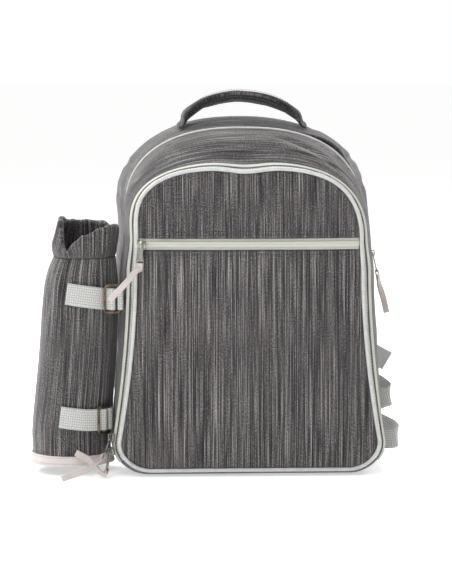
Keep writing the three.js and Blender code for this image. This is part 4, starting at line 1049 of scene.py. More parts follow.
def gusset_relief(edges, creases, seed, height):
    low, high = edges

    def relief(depth, turn, face):
        run = turn * ROUND
        from_low = np.abs(depth - low(turn)) * BAG_DEPTH
        from_high = np.abs(high(turn) - depth) * BAG_DEPTH
        made = seam_pucker(from_low, run, height, seed) + seam_pucker(from_high, run, height, seed + 5)
        slack = np.minimum(from_low, from_high)
        broad = cloth_noise(run / 62, depth * BAG_DEPTH / 30, seed + 9)
        broader = cloth_noise(run / 130, depth * BAG_DEPTH / 70, seed + 10)
        made += (1.1 * broad + 1.0 * broader) * ease(slack, 2, 18)
        for line, width, deep in creases:
            flat = [(t * ROUND, d * BAG_DEPTH) for t, d in line]
            made += crease(run, depth * BAG_DEPTH, flat, width, deep) * ease(slack, 0, 5)
        on_ground = 1 - ease(face[..., 2], 1, 8)
        made = np.where(made > 0, made * (1 - on_ground), made * (1 - 0.7 * on_ground))
        rolled = 1.3 * np.exp(-((np.minimum(from_low, from_high) / 1.1) ** 2))
        return made - rolled

    return relief


class COOLER_OT_gussets(bpy.types.Operator):
    """Make the padded side walls of the two compartments, with their creases and puckers"""

    bl_idname = "cooler.gussets"
    bl_label = "Side walls"

    def execute(self, context):
        looks = looks_of(context)
        cloth = finish("charcoal_heather", heather, looks)
        turns = np.arange(360) / 360
        height = looks.pucker / MM
        front = lambda turn: ZIP_DEPTHS[0] + 0 * turn
        main = lambda turn: MAIN_BEFORE + 0 * turn
        back = lambda turn: BACK_EDGE + 0 * turn
        visible = lambda turn: ZIP_DEPTHS[3] + 0 * turn
        for name, low, high, edges, creases, seed in (
            ("front_wall", front, main, (visible, main), FRONT_CREASES, 11),
            ("back_wall", groove, back, (groove, back), BACK_CREASES, 31),
        ):
            steps = np.linspace(0, 1, 40)[:, None]
            depths = mix(low(turns)[None], high(turns)[None], steps)
            bare = gusset_relief(edges, creases, seed, height)

            def relief(depth, turn, face, bare=bare, name=name):
                if name == "front_wall":
                    return bare(depth, turn, face) * ease((depth - ZIP_DEPTHS[3]) * BAG_DEPTH, -1, 3)
                lip = gape(turn) * GROOVE_RISE * (1 - ease((depth - groove(turn)) * BAG_DEPTH, 0, 9))
                return bare(depth, turn, face) + lip

            made = wall(depths, turns, relief, lift=-CLOTH_WALL)
            node = name.replace("wall", "gusset")
            obj = make(name, made, cloth, node)
        return {"FINISHED"}


def panel_piece(name, panel, thickness, relief, material, node, cut=None, size=(130, 150)):
    """The front or the back of the bag, cut level at a height if cut holds it and the side kept."""
    x, z = panel.places(*size)
    height = relief(x, z)
    outer = panel.at(x, z, thickness / 2 + height)
    inner = panel.at(x, z, -thickness / 2 + 0.6 * height)
    points, faces, threads = shell(outer, inner, False, np.stack([x, z], -1))
    obj = make(name, (points, faces, threads), material, node)
    if cut:
        level, kept = cut
        work = bmesh.new()
        work.from_mesh(obj.data)
        bmesh.ops.bisect_plane(
            work,
            geom=work.verts[:] + work.edges[:] + work.faces[:],
            plane_co=(0, 0, level * MM),
            plane_no=(0, 0, 1),
            clear_outer=kept < 0,
            clear_inner=kept > 0,
        )
        rim = [edge for edge in work.edges if edge.is_boundary]
        bmesh.ops.holes_fill(work, edges=rim, sides=0)
        bmesh.ops.recalc_face_normals(work, faces=work.faces)
        work.to_mesh(obj.data)
        work.free()
    return obj


# Soft folds of the front: x and z of each point of the line, then width and depth.
FRONT_FOLDS = [
    ([(-118, 300), (-98, 318), (-70, 330)], 9, 0.7),
    ([(112, 300), (100, 320), (78, 333)], 9, 0.7),
    ([(-132, 60), (-118, 44), (-96, 34)], 9, 0.9),
    ([(132, 64), (120, 46), (98, 36)], 9, 0.9),
    ([(60, 20), (74, 60), (80, 110)], 16, 0.8),
    ([(-70, 22), (-84, 70), (-86, 120)], 16, 0.8),
    ([(-118, 246), (-108, 215), (-110, 180)], 12, 0.7),
    ([(116, 246), (108, 210), (112, 170)], 12, 0.7),
]
POCKET_SEAMS = ((284.6, 0.55), (280.4, 0.55), (262.2, 0.5), (258.0, 0.5))


def front_relief(x, z):
    panel = FRONT
    up = z - panel.middle
    reach = np.interp(np.arctan2(up, np.abs(x)), panel.angles, panel.reaches)
    away = reach - np.hypot(x, up)
    run = np.arctan2(up, x) * 190
    made = seam_pucker(np.maximum(away, 0), run, 0.5, 51) - 1.1 * np.exp(-((away / 1.3) ** 2))
    slack = ease(away, 4, 30)
    made += slack * (0.8 * cloth_noise(x / 46, z / 74, 61) + 0.8 * cloth_noise(x / 95, z / 120, 62))
    for line, width, deep in FRONT_FOLDS:
        made += crease(x, z, line, width, deep) * ease(away, 2, 8)
    for height, deep in POCKET_SEAMS:
        made -= deep * np.exp(-(((z - height) / 0.8) ** 2)) * ease(away, 1, 3)
        made += 0.12 * cloth_noise(x / 6, z / 8, 71) * np.exp(-(((z - height) / 4) ** 2))
    for edge, sign in ((POCKET_ZIP_HEIGHT + 7, 1), (POCKET_ZIP_HEIGHT - 7, -1)):
        beside = (z - edge) * sign
        made -= 0.9 * np.exp(-((np.maximum(beside, 0) / 1.1) ** 2)) * (beside > -2)
    return made


class COOLER_OT_front_panels(bpy.types.Operator):
    """Make the front above and below the pocket zip, with its seams and soft folds"""

    bl_idname = "cooler.front_panels"
    bl_label = "Front"

    def execute(self, context):
        cloth = finish("charcoal_heather", heather, looks_of(context))
        reach = POCKET_ZIP_WIDTH / 2 + GAP
        for name, sign in (("front_panel_upper", 1), ("front_panel_pocket", -1)):
            cut = (POCKET_ZIP_HEIGHT + sign * reach, sign)
            panel_piece(
                name + "_cloth",
                FRONT,
                CLOTH_WALL,
                front_relief,
                cloth,
                name,
                cut,
                (210, 240),
            )
        rows = []
        for height, _ in POCKET_SEAMS:
            half = FRONT.half_width(height) - 2.5
            x = np.linspace(-half, half, 160)
            z = height + 0 * x
            line = FRONT.at(x, z, CLOTH_WALL / 2 + front_relief(x, z) + 0.16)
            rows.append(stitches(line, np.array([0, -1.0, 0]), 2.7, 0.9, 0.5))
        thread = finish("dark_thread", ribbed, scaled(trim_of(context).thread, 1))
        make("pocket_topstitching", joined(rows), thread)
        return {"FINISHED"}


def back_relief(x, z):
    up = z - BACK.middle
    reach = np.interp(np.arctan2(up, np.abs(x)), BACK.angles, BACK.reaches)
    away = reach - np.hypot(x, up)
    made = seam_pucker(np.maximum(away, 0), np.arctan2(up, x) * 190, 0.6, 81)
    made -= 2.2 * np.exp(-((away / 2.6) ** 2))
    made += ease(away, 4, 30) * 0.8 * cloth_noise(x / 60, z / 80, 82)
    for across in (-84, 84):
        made -= 1.6 * np.exp(-(((x - across) / 2.2) ** 2)) * ease(away, 0, 14)
    for height in (118, 214, 310):
        made -= 1.5 * np.exp(-(((z - height) / 2.2) ** 2)) * ease(away, 0, 14) * (np.abs(x) < 84)
    return made


class COOLER_OT_back_panel(bpy.types.Operator):
    """Make the pale padded back with its sewn channels"""

    bl_idname = "cooler.back_panel"
    bl_label = "Back"

    def execute(self, context):
        trim = trim_of(context)
        padding = finish("back_mesh", basket_weave, trim.back, (1.3, 1.3), 0.3)
        panel_piece("back_padding", BACK, BACK_PAD, back_relief, padding, "back_panel")
        return {"FINISHED"}


class COOLER_OT_pipings(bpy.types.Operator):
    """Make the three piping cords with the puckers of their covers"""

    bl_idname = "cooler.pipings"
    bl_label = "Piping"

    def execute(self, context):
        cover = finish("piping_cloth", plain_weave, trim_of(context).piping)
        turns = np.arange(600) / 600
        for name, depth, diameter in (
            ("front_piping", 0.0, FRONT_PIPING),
            ("main_piping", MAIN_SEAM, MAIN_PIPING),
            ("back_piping", 1.0, BACK_PIPING),
        ):
            out = bag_normal(depth, turns)
            along = unit(bag_point(depth, turns + 0.004) - bag_point(depth, turns - 0.004))
            side = unit(np.cross(along, out))
            ring = circle(diameter, 12)
            swell = 1 + 0.035 * cloth_noise(turns * ROUND / 4, 0 * turns, 91)
            profile = ring[None] * swell[:, None, None]
            made = sweep(bag_point(depth, turns), side, out, profile, True)
            make(name + "_cord", made, cover, name)
        return {"FINISHED"}


# Zips
def coil(points, side, out, width, height, base):
    """Closed coil zip: two rows of turns that meet along a fine middle line."""
    pitch = 1.7
    a = np.array([-1, -0.93, -0.8, -0.62, -0.4, -0.2, -0.06, 0, 0.06, 0.2, 0.4, 0.62, 0.8, 0.93, 1])
    place = lengths_along(points)
    turned = np.cos(2 * math.pi * (place[:, None] / pitch + 0.5 * (a > 0)))
    rise = height * (1 - 0.55 * np.abs(a) ** 3 - 0.42 * np.exp(-((a / 0.07) ** 2)))
    rise = rise * (1 - 0.26 * (1 - turned) / 2 * (np.abs(a) < 0.9))
    top = np.stack([np.broadcast_to(a * width / 2, rise.shape), base + rise], -1)
    low = np.stack([a[[-1, 0]] * width / 2 + 0 * place[:, None], base + 0 * rise[:, :2]], -1)
    return sweep(points, side, out, np.concatenate([top, low], 1))


class COOLER_OT_zips(bpy.types.Operator):
    """Make the tapes and coils of the pocket and front zips, and the tape of the main zip"""

    bl_idname = "cooler.zips"
    bl_label = "Zips"

    def execute(self, context):
        trim = trim_of(context)
        tape = finish("tape_twill", ribbed, trim.tape, 1.2, 0.2)
        nylon = finish("coil_nylon", ribbed, trim.coil, 0.85, 0.18)
        dark = finish("dark_tape", ribbed, trim.dark, 1.2, 0.3)
        turns = np.linspace(ZIP_END, 1 - ZIP_END, 620)
        depths = np.linspace(ZIP_DEPTHS[0], ZIP_DEPTHS[3], 13)[:, None] + 0 * turns[None]

        def tape_relief(depth, turn, face):
            across = (depth - ZIP_DEPTHS[0]) * BAG_DEPTH
            sewn = sum(bump(across, seam, 0.6) for seam in TAPE_SEAMS)
            edge = np.minimum(across, ZIP_WIDTH - across)
            ripple = 0.25 * cloth_noise(turn * ROUND / 9, across / 8, 101)
            return ripple - 0.3 * sewn - 0.5 * np.exp(-((edge / 0.6) ** 2))

        made = wall(depths, turns, tape_relief, GAP, ZIP_TAPE, False)
        # The front tape's finish paints shade beside its coil and along both of its edges.
        painted_shade_tape = finish("front_tape_twill", tape_with_painted_shade, trim.tape, trim.dark)
        make("front_tape", made, painted_shade_tape, "front_zip_tape")
        rows, around_bag = [], np.linspace(ZIP_END, 1 - ZIP_END, 900)
        for across in TAPE_SEAMS:
            depth = ZIP_DEPTHS[0] + share(across) + 0 * around_bag
            line = on_bag(depth, around_bag, GAP + ZIP_TAPE - 0.2 + 0 * around_bag)
            rows.append(stitches(line, bag_normal(depth, around_bag), 1.9, 1.7, 0.36, 0.0))
        sewing = finish("tape_thread", ribbed, scaled(trim.thread, 2.2))
        make("zip_stitching", joined(rows), sewing)
        fine = np.linspace(ZIP_END, 1 - ZIP_END, 2600)
        middle = (ZIP_DEPTHS[1] + ZIP_DEPTHS[2]) / 2
        points = bag_point(middle, fine)
        out = bag_normal(middle, fine)
        points, side, up = frames_along(points, np.cross(out, unit(np.gradient(points, axis=0))))
        up = np.where(dot(up, out) < 0, -up, up)
        made = coil(points, side, up, COIL_WIDTH, COIL_HEIGHT, GAP + ZIP_TAPE + GAP)
        make("front_coil", made, nylon, "front_zip_coil")

        half = FRONT.half_width(POCKET_ZIP_HEIGHT) - GAP
        across = np.linspace(-half, half, 120)
        up = np.linspace(-POCKET_ZIP_WIDTH / 2, POCKET_ZIP_WIDTH / 2, 15)
        x, z = np.meshgrid(across, POCKET_ZIP_HEIGHT + up)
        wave = 0.15 * cloth_noise(x / 11, z / 6, 111) - 0.35 * np.exp(-((np.abs(z - 270) - 4.3) / 0.5) ** 2)
        outer = FRONT.at(x, z, wave)
        inner = FRONT.at(x, z, -ZIP_TAPE + 0.8 * wave)
        made = shell(outer, inner, False, np.stack([z, x], -1))
        make("pocket_tape", made, tape, "pocket_zip_tape")
        across = np.linspace(-half, half, 700)
        points = FRONT.at(across, POCKET_ZIP_HEIGHT + 0 * across, GAP)
        points, side, up = frames_along(points, UP)
        up = np.where(up[:, 1:2] > 0, -up, up)
        made = coil(points, side, up, COIL_WIDTH, COIL_HEIGHT, 0)
        make("pocket_coil", made, nylon, "pocket_zip_coil")

        turns = np.arange(420) / 420
        low, high = MAIN_BEFORE - share(4) + 0 * turns, groove(turns) + share(4)
        depths = mix(low[None], high[None], np.linspace(0, 1, 9)[:, None])
        under = -CLOTH_WALL - 3 * GAP - ZIP_TAPE
        made = wall(depths, turns, lambda d, t, f: 0 * d, under, ZIP_TAPE)
        make("main_tape", made, dark, "main_zip_tape")
        return {"FINISHED"}


# Sliders, pulls and ribbons
def stand_on_bag(depth, turn, lift):
    along = unit(bag_point(depth, turn - 0.01) - bag_point(depth, turn + 0.01))
    out = bag_normal(depth, turn)
    out = unit(out - along * dot(out, along))
    return bag_point(depth, turn) + bag_normal(depth, turn) * (lift + GAP), out, along


def zip_stands():
    """Each zip pull's name, seat, hang, slope off the cloth and its ribbon's trail in shares."""
    at = -POCKET_PULL
    run = unit(on_panel(at + 5, POCKET_ZIP_HEIGHT, 0) - on_panel(at - 5, POCKET_ZIP_HEIGHT, 0))
    foot = on_panel(at, POCKET_ZIP_HEIGHT, 2 * GAP + COIL_HEIGHT - CLOTH_WALL / 2)
    pocket = foot, unit(np.cross(run, UP)), run
    middle = (ZIP_DEPTHS[1] + ZIP_DEPTHS[2]) / 2
    coil_top = 2 * GAP + ZIP_TAPE + COIL_HEIGHT
    low = stand_on_bag(middle, 1 - turn_at_height(middle, LOWER_PULL), coil_top)
    high = stand_on_bag(middle, 1 - turn_at_height(middle, UPPER_PULL), coil_top - GAP)
    on_groove = MAIN_SEAM + share(6.2)
    seat = stand_on_bag(on_groove, turn_at_height(on_groove, MAIN_PULL), -GAP)
    return [
        (
            "pocket_zip",
            pocket,
            (-0.05, 0, -1),
            0.12,
            [(-0.09, -0.1, -0.13), (-0.247, -0.198, -0.31), (-0.603, -0.095, -0.69)],
        ),
        (
            "front_zip_lower",
            low,
            (0, -0.5, -0.9),
            0.6,
            [(-0.12, -0.04, -0.04), (-0.36, 0.08, 0.2), (-0.61, 0.12, 0.336)],
        ),
        (
            "front_zip_upper",
            high,
            (0, -0.3, -0.95),
            0.4,
            [(-0.155, -0.2, -0.15), (-0.345, -0.36, -0.235), (-0.81, -0.46, -0.385)],
        ),
        (
            "main_zip",
            seat,
            (0, -0.3, -0.9),
            0.12,
            [(0.043, -0.097, -0.26), (0.12, -0.217, -0.55), (0.172, -0.31, -0.81)],
        ),
    ]


def hairpin_line(path, side, bar_diameter, thickness):
    """Line of a doubled band from the end of a path, round a bar at its start, and back."""
    path = np.asarray(path, float)
    points, across, out = frames_along(path, side)
    side = np.broadcast_to(np.asarray(side, float), points.shape)
    bar = bar_diameter / 2 + GAP + thickness / 2
    closed_up = thickness / 2 + GAP / 2
    away = np.maximum(bar * np.array([1, 0.7] + [0] * (len(path) - 2)), closed_up)[:, None]
    back = unit(np.cross(out[0], across[0]))
    if float(np.dot(back, path[1] - path[0])) > 0:
        back = -back
    turn = [
        path[0] + out[0] * bar * math.sin(math.radians(a)) + back * bar * math.cos(math.radians(a))
        for a in (-70, -35, 0, 35, 70)
    ]
    line = np.concatenate([(points - out * away)[::-1], turn, points + out * away])
    sides = np.concatenate([side[::-1], np.repeat(side[:1], len(turn), 0), side])
    return line, sides


def resampled(line, sides, step):
    count = int(lengths_along(line)[-1] / step) + 2
    return through(line, count, sides)


class COOLER_OT_zip_pulls(bpy.types.Operator):
    """Make the four zip sliders and pulls, each with its doubled ribbon"""

    bl_idname = "cooler.zip_pulls"
    bl_label = "Zip pulls"

    def execute(self, context):
        trim = trim_of(context)
        nickel = finish("worn_nickel", worn_metal, trim.nickel, scaled(trim.nickel, 0.55), 0.26)
        cream = finish("cream_ribbon", ribbed, trim.ribbon, 0.9, 0.12)
        sewing = finish("pale_thread", ribbed, scaled(trim.ribbon, 0.82))
        seams = []
        for name, (foot, out, _), hang, lift, trail in zip_stands():
            copy_of(name + "_slider", name + "_slider_metal", nickel, 0.35)
            copy_of(name + "_pull", name + "_pull_metal", nickel, 0.22)
            eye = foot + out * EYE_HEIGHT
            flat = unit(np.array(hang) - out * float(np.dot(hang, out)))
            down = unit(flat + out * lift)
            wide = unit(np.cross(down, out))
            bar = eye + down * (PULL_LENGTH - EYE_BAR / 2)
            start = bar + down * 5
            after = np.array(trail) * RIBBON_LENGTH + bar
            path = np.concatenate([[bar], through([start, *after], 9)])
            facing = unit(np.cross(after[-1] - bar, (0, 1, 0)))
            facing = facing if np.dot(facing, wide) > 0 else -facing
            turned = np.minimum(np.arange(len(path)) / 6, 1)[:, None]
            sides = unit(mix(wide, facing, turned))
            line, sides = hairpin_line(path, sides, PULL_THICKNESS + 0.9, RIBBON)
            line, sides = resampled(line, sides, 0.9)
            points, side, up = frames_along(line, sides)
            run = lengths_along(points)
            wave = 0.05 * cloth_noise(run / 7, 0 * run, 121)
            points = points + up * wave[:, None]
            made = sweep(points, side, up, strap_section(PULL_WIDTH, RIBBON, 9))
            make(name + "_ribbon_cloth", made, cream, name + "_ribbon")
            last = int(7.5 / 0.9)
            for k in (last, last + 3):
                middle_line = (points[k] + points[-1 - k]) / 2
                for sheet_k in (k, len(points) - 1 - k):
                    width = np.linspace(-2.6, 2.6, 7)[:, None]
                    middle, s, n = points[sheet_k], side[sheet_k], up[sheet_k]
                    outward = n if np.dot(middle - middle_line, n) > 0 else -n
                    line_k = middle + s * width + outward * (RIBBON / 2)
                    seams.append(stitches(line_k, outward, 1.3, 0.4, 0.2, 0.02))
        make("ribbon_stitching", joined(seams), sewing)
        return {"FINISHED"}


# Bottle sleeve
def sleeve_row(z):
    return row_at(SLEEVE_ROWS, "height", (z - SLEEVE_LIFT) / SLEEVE_HEIGHT)


FASTENING = share(FASTENED_AT)
SLEEVE_Y = (FASTENING - MAIN_SEAM) * BAG_DEPTH + SLEEVE_BEHIND
SLEEVE_DEPTH = MAIN_SEAM + share(SLEEVE_Y)
NECK = SLEEVE_LIFT + SLEEVE_HEIGHT
AXIS_HEIGHTS = np.linspace(0, 260, 53)
AXIS_SIDES = np.array(
    [bag_point(SLEEVE_DEPTH, turn_at_height(SLEEVE_DEPTH, max(z, 46.0)))[0] for z in AXIS_HEIGHTS]
)


def sleeve_axis(z):
    row = sleeve_row(z)
    x = -np.interp(z, AXIS_HEIGHTS, AXIS_SIDES) - (row["radius"] + row["room"]) * SLEEVE_RADIUS
    return point(x, SLEEVE_Y, z)


def around(turn):
    a = np.asarray(turn) * 2 * math.pi
    return point(np.sin(a), -np.cos(a), 0)


def on_sleeve(turn, z, lift):
    turn, z = np.broadcast_arrays(np.asarray(turn, float), np.asarray(z, float))
    reach = sleeve_row(z)["radius"] * SLEEVE_RADIUS + lift
    return sleeve_axis(z) + around(turn) * np.asarray(reach)[..., None]


# Folds of the sleeve: turn and height of each point of the line, then width and depth.
SLEEVE_FOLDS = [
    ([(-0.09, 238), (-0.06, 214), (-0.02, 196)], 5, 1.6),
    ([(0.06, 246), (0.05, 226), (0.07, 206)], 5, 1.5),
    ([(-0.16, 236), (-0.15, 210), (-0.17, 180)], 6, 1.3),
    ([(-0.02, 180), (-0.04, 150), (-0.03, 118)], 9, 0.9),
    ([(0.14, 244), (0.13, 215), (0.15, 190)], 6, 1.3),
    ([(-0.14, 120), (-0.12, 90), (-0.13, 60)], 9, 0.9),
    ([(0.02, 98), (-0.03, 86), (-0.08, 82)], 5, 0.8),
    ([(0.03, 52), (-0.02, 44), (-0.08, 42)], 5, 0.8),
    ([(0.03, 194), (-0.03, 186), (-0.09, 184)], 5, 0.9),
    ([(-0.3, 230), (-0.31, 200), (-0.29, 160)], 7, 1.3),
    ([(-0.42, 236), (-0.41, 205), (-0.43, 170)], 7, 1.3),
]


def sleeve_relief(turn, z):
    flat = (np.asarray(turn) + 0.5) % 1 - 0.5
    run = flat * 2 * math.pi * SLEEVE_RADIUS
    top = ease(z, NECK - 62, NECK)
    gathers = cloth_noise(turn * 34, z / 70, 131) + 0.6 * cloth_noise(turn * 61, z / 45, 132)
    made = 1.05 * gathers * top
    made += 0.8 * cloth_noise(run / 40, z / 55, 133) + 0.35 * cloth_noise(run / 13, z / 32, 134)
    for line, width, deep in SLEEVE_FOLDS:
        line = [(t * 2 * math.pi * SLEEVE_RADIUS, h) for t, h in line]
        made += crease(run, z, line, width, deep)
    hem = ease(z, SLEEVE_LIFT + BINDING_HEIGHT, SLEEVE_LIFT + BINDING_HEIGHT + 14)
    return np.clip(made * hem, -3.2, 1.6)


class COOLER_OT_bottle_sleeve(bpy.types.Operator):
    """Make the padded bottle sleeve, its base and the binding round its hem"""

    bl_idname = "cooler.bottle_sleeve"
    bl_label = "Bottle sleeve"

    def execute(self, context):
        trim = trim_of(context)
        cloth = finish("charcoal_heather", heather, looks_of(context))
        bound = finish("binding_tape", ribbed, trim.binding, 1.3, 0.16, False)
        turns = np.arange(190) / 190
        z = mix(SLEEVE_LIFT, NECK, np.linspace(0, 1, 110))[:, None] + 0 * turns
        relief = sleeve_relief(turns[None] + 0 * z, z)
        outer = on_sleeve(turns[None], z, relief)
        inner = on_sleeve(turns[None], z, relief * 0.7 - SLEEVE_WALL)
        run = np.append(turns, 1) * 2 * math.pi * SLEEVE_RADIUS
        thread = np.stack(np.broadcast_arrays(run[None], z[:, :1]), -1)
        made = shell(outer, inner, True, thread)
        obj = make("bottle_wall", made, cloth, "bottle_sleeve")

        inside = float(sleeve_row(SLEEVE_LIFT)["radius"]) * SLEEVE_RADIUS - SLEEVE_WALL - GAP
        seat = sleeve_axis(SLEEVE_LIFT)
        middle = SLEEVE_LIFT + SLEEVE_WALL / 2 + 1
        rings = np.array([0.02, 0.25, 0.5, 0.75, 0.93, 0.985, 1.0])
        dome = np.array([1, 1, 0.97, 0.93, 0.85, 0.6, 0.15]) * SLEEVE_WALL / 2
        disc_turns = np.arange(72) / 72
        flat = seat + around(disc_turns)[None] * (rings * inside * 0.99)[:, None, None]
        upper, lower = flat.copy(), flat.copy()
        upper[..., 2] = middle + dome[:, None]
        lower[..., 2] = middle - dome[:, None]
        places = np.concatenate([flat[..., :2], flat[:, :1, :2]], 1)
        obj = make("bottle_seat", shell(upper, lower, True, places), cloth, "bottle_base")

        up = np.array([-1, -0.4, 1, 3, 5.5, 8, 10, BINDING_HEIGHT - 0.3, BINDING_HEIGHT])
        flare = BINDING_FLARE * (1 - np.clip(up / BINDING_HEIGHT, 0, 1)) ** 1.3
        tuck = np.array([-0.6, -0.1, 0, 0, 0, 0, 0, -0.2, -0.7])
        wave = 0.5 * cloth_noise(turns * 40, 0 * turns, 141)[None] * np.linspace(1, 0.2, len(up))[:, None]
        height = SLEEVE_LIFT + np.maximum(up, 0)[:, None] + 0 * turns[None]
        lift = flare[:, None] + wave
        outer = on_sleeve(turns[None], height, 2 * GAP + 1.3 + lift + tuck[:, None])
        inner = on_sleeve(turns[None], height, 2 * GAP + lift)
        outer[..., 2] = inner[..., 2] = SLEEVE_LIFT + up[:, None]
        outer[0, :, 2] += 0.5
        thread = np.stack(np.broadcast_arrays(run[None] + 0 * up[:, None], up[:, None]), -1)
        make("bottle_hem", shell(outer, inner, True, thread), bound, "bottle_binding")
        rows = []
        sewing = finish("binding_thread", ribbed, scaled(trim.binding, 0.62))
        closed = np.append(turns, 1)
        for at in (BINDING_HEIGHT - 1.9, 2.4):
            lean = BINDING_FLARE * (1 - at / BINDING_HEIGHT) ** 1.3
            ripple = 0.5 * cloth_noise(closed * 40, 0 * closed, 141) * (0.35 if at > 5 else 0.85)
            line = on_sleeve(closed, SLEEVE_LIFT + at + 0 * closed, 2 * GAP + 1.36 + lean + ripple)
            rows.append(stitches(line, around(closed), 2.6, 1.1, 0.28, 0.02))
        make("binding_stitching", joined(rows), sewing)
        return {"FINISHED"}


class COOLER_OT_bottle_collar(bpy.types.Operator):
    """Make the gathered collar that rolls over the mouth of the bottle sleeve"""

    bl_idname = "cooler.bottle_collar"
    bl_label = "Bottle collar"

    def execute(self, context):
        cloth = finish("charcoal_heather", heather, looks_of(context))
        turns = np.arange(300) / 300
        keys = np.where(turns > 0.95, turns - 1, turns)
        row = row_at(COLLAR_ROWS, "turn", keys)
        rim = np.maximum(row["rim"], 0.1) * COLLAR_HEIGHT
        neck = float(sleeve_row(NECK)["radius"]) * SLEEVE_RADIUS
        mouth, belly = row["mouth"] * SLEEVE_RADIUS, row["belly"] * SLEEVE_RADIUS
        roll = COLLAR_THICKNESS / 2
        whole = 0 * turns
        corners = [
            (neck + whole, whole),
            (mix(neck, belly, 0.75), rim * 0.16),
            (belly, rim * 0.35),
            (mix(belly, mouth + roll, 0.6), rim * 0.66),
            (mouth + roll, rim - roll),
            (mouth + roll * 0.7, rim - roll * 0.2),
            (mouth, rim),
            (mouth - roll * 0.8, rim - roll * 0.6),
            (mouth - roll * 0.7, rim - roll * 1.1),
            (belly - SLEEVE_WALL - 1, rim * 0.35),
            (neck - SLEEVE_WALL, whole),
        ]
        control = np.stack([np.stack(np.broadcast_arrays(*c), -1) for c in corners])
        count = 42
        profile = np.empty((len(turns), count, 2))
        for j in range(len(turns)):
            line = np.concatenate([control[:, j], np.zeros((len(corners), 1))], 1)
            profile[j] = through(line, count)[:, :2]
        s = np.linspace(0, 1, count)[None]
        folds = cloth_noise(turns[:, None] * 26, s * 2.2, 151)
        folds = folds + 0.7 * cloth_noise(turns[:, None] * 47, s * 3.5, 152)
        slack = np.sin(np.clip(s * 1.02, 0, 1) * math.pi) ** 0.7
        normal = np.gradient(profile, axis=1)
        normal = unit(np.stack([normal[..., 1], -normal[..., 0]], -1))
        profile = profile + normal * (1.35 * folds * slack)[..., None]
        seat = sleeve_axis(NECK) * [1, 1, 0] + [0, 0, NECK + GAP]
        out = around(turns)
        rings = seat + out[:, None] * profile[..., :1] + UP * profile[..., 1:]
        inner = seat + out[:, None] * (profile[..., :1] - normal[..., :1] * 1.4)
        inner = inner + UP * (profile[..., 1:] - normal[..., 1:] * 1.4)
        outer = rings.transpose(1, 0, 2)
        inner = inner.transpose(1, 0, 2)
        drop = lengths_along(profile[0])
        run = np.append(turns, 1) * 2 * math.pi * neck
        thread = np.stack(np.broadcast_arrays(run[None], drop[:, None]), -1)
        made = shell(outer, inner, True, thread)
        obj = make("bottle_roll", made, cloth, "bottle_collar")
        return {"FINISHED"}


# Rings, straps and tabs of the sleeve
def beside_bag(y, z, lift):
    depth = MAIN_SEAM
    for _ in range(8):
        depth += (y - bag_point(depth, turn_at_height(depth, z))[1]) / BAG_DEPTH
    return point(-bag_point(depth, turn_at_height(depth, z))[0] - lift, y, z)


def strap_mesh(line, sides, seed):
    """Webbing along a line, with slight waves: its points, sides, tops and mesh."""
    line, sides = resampled(line, sides, 1.3)
    points, side, up = frames_along(line, sides)
    run = lengths_along(points)
    ends = ease(run, 0, 12) * ease(run[-1] - run, 0, 12)
    points = points + up * (0.16 * cloth_noise(run / 11, 0 * run, seed) * ends)[:, None]
    return points, side, up, sweep(points, side, up, strap_section(WEBBING, WEBBING_THICKNESS))


class COOLER_OT_fastenings(bpy.types.Operator):
    """Make the two bronzed rings that hold the sleeve, with their webbing straps and tabs"""

    bl_idname = "cooler.fastenings"
    bl_label = "Rings and straps"

    def execute(self, context):
        trim = trim_of(context)
        strap_cloth = finish("webbing_weave", basket_weave, trim.webbing)
        bronze = finish("bronzed_wire", worn_metal, trim.bronze, scaled(trim.bronze, 0.35), 0.3)
        sewing = finish("webbing_thread", ribbed, scaled(trim.webbing, 0.75))
        seams = []
        for name, height, place, turned, between, rise, tab in (
            (
                "upper",
                RING_UPPER,
                (4.7, -12.6),
                4,
                (0.085, -0.055),
                0.24,
                [(-5.2, 4), (0.8, 2), (6.8, 0.4), (13.8, 0)],
            ),
            ("lower", RING_LOWER, (7.2, 3.4), 48, (0.055, -0.045), 0.16, [(9.6, 1), (14.6, 0)]),
        ):
            edge = bag_point(FASTENING, turn_at_height(FASTENING, height))
            a = math.radians(turned)
            wide, out = np.array([math.cos(a), math.sin(a), 0]), np.array([math.sin(a), -math.cos(a), 0])
            bar = point(-edge[0] - place[0], edge[1] + place[1], height)
            middle = bar + wide * (RING_WIRE - RING_WIDTH) / 2
            ring = ring_mesh(middle, wide, out)
            make(name + "_ring_wire", ring, bronze, name + "_ring")
            behind = RING_WIRE / 2 + 2 * WEBBING_THICKNESS + GAP
            left = middle - wide * RING_WIDTH / 2 - out * behind
            near = middle - wide * RING_WIDTH * 0.24 - out * behind * 0.6
            lift = WEBBING_THICKNESS + 3 * GAP
            u = np.linspace(0, 1, 7)
            rest = on_sleeve(mix(between[0], between[1], u), height + (0.02 + rise * u) * WEBBING, lift)
            path = np.concatenate([[middle, near, left], rest])
            line, sides = hairpin_line(path, UP, RING_WIRE + GAP, WEBBING_THICKNESS)
            points, side, up, made = strap_mesh(line, sides, 161)
            make(name + "_strap_webbing", made, strap_cloth, name + "_strap")
            seams += box_stitching(points, side, up, 3, 13)
            off = WEBBING_THICKNESS + 2 * GAP
            sewn = [beside_bag(edge[1] + back, height, off + more) for back, more in tab]
            line, sides = hairpin_line([bar, *sewn], UP, RING_WIRE + GAP, WEBBING_THICKNESS)
            points, side, up, made = strap_mesh(line, sides, 162)
            make(name + "_tab_webbing", made, strap_cloth, name + "_tab")
        make("strap_stitching", joined(seams), sewing)
        return {"FINISHED"}


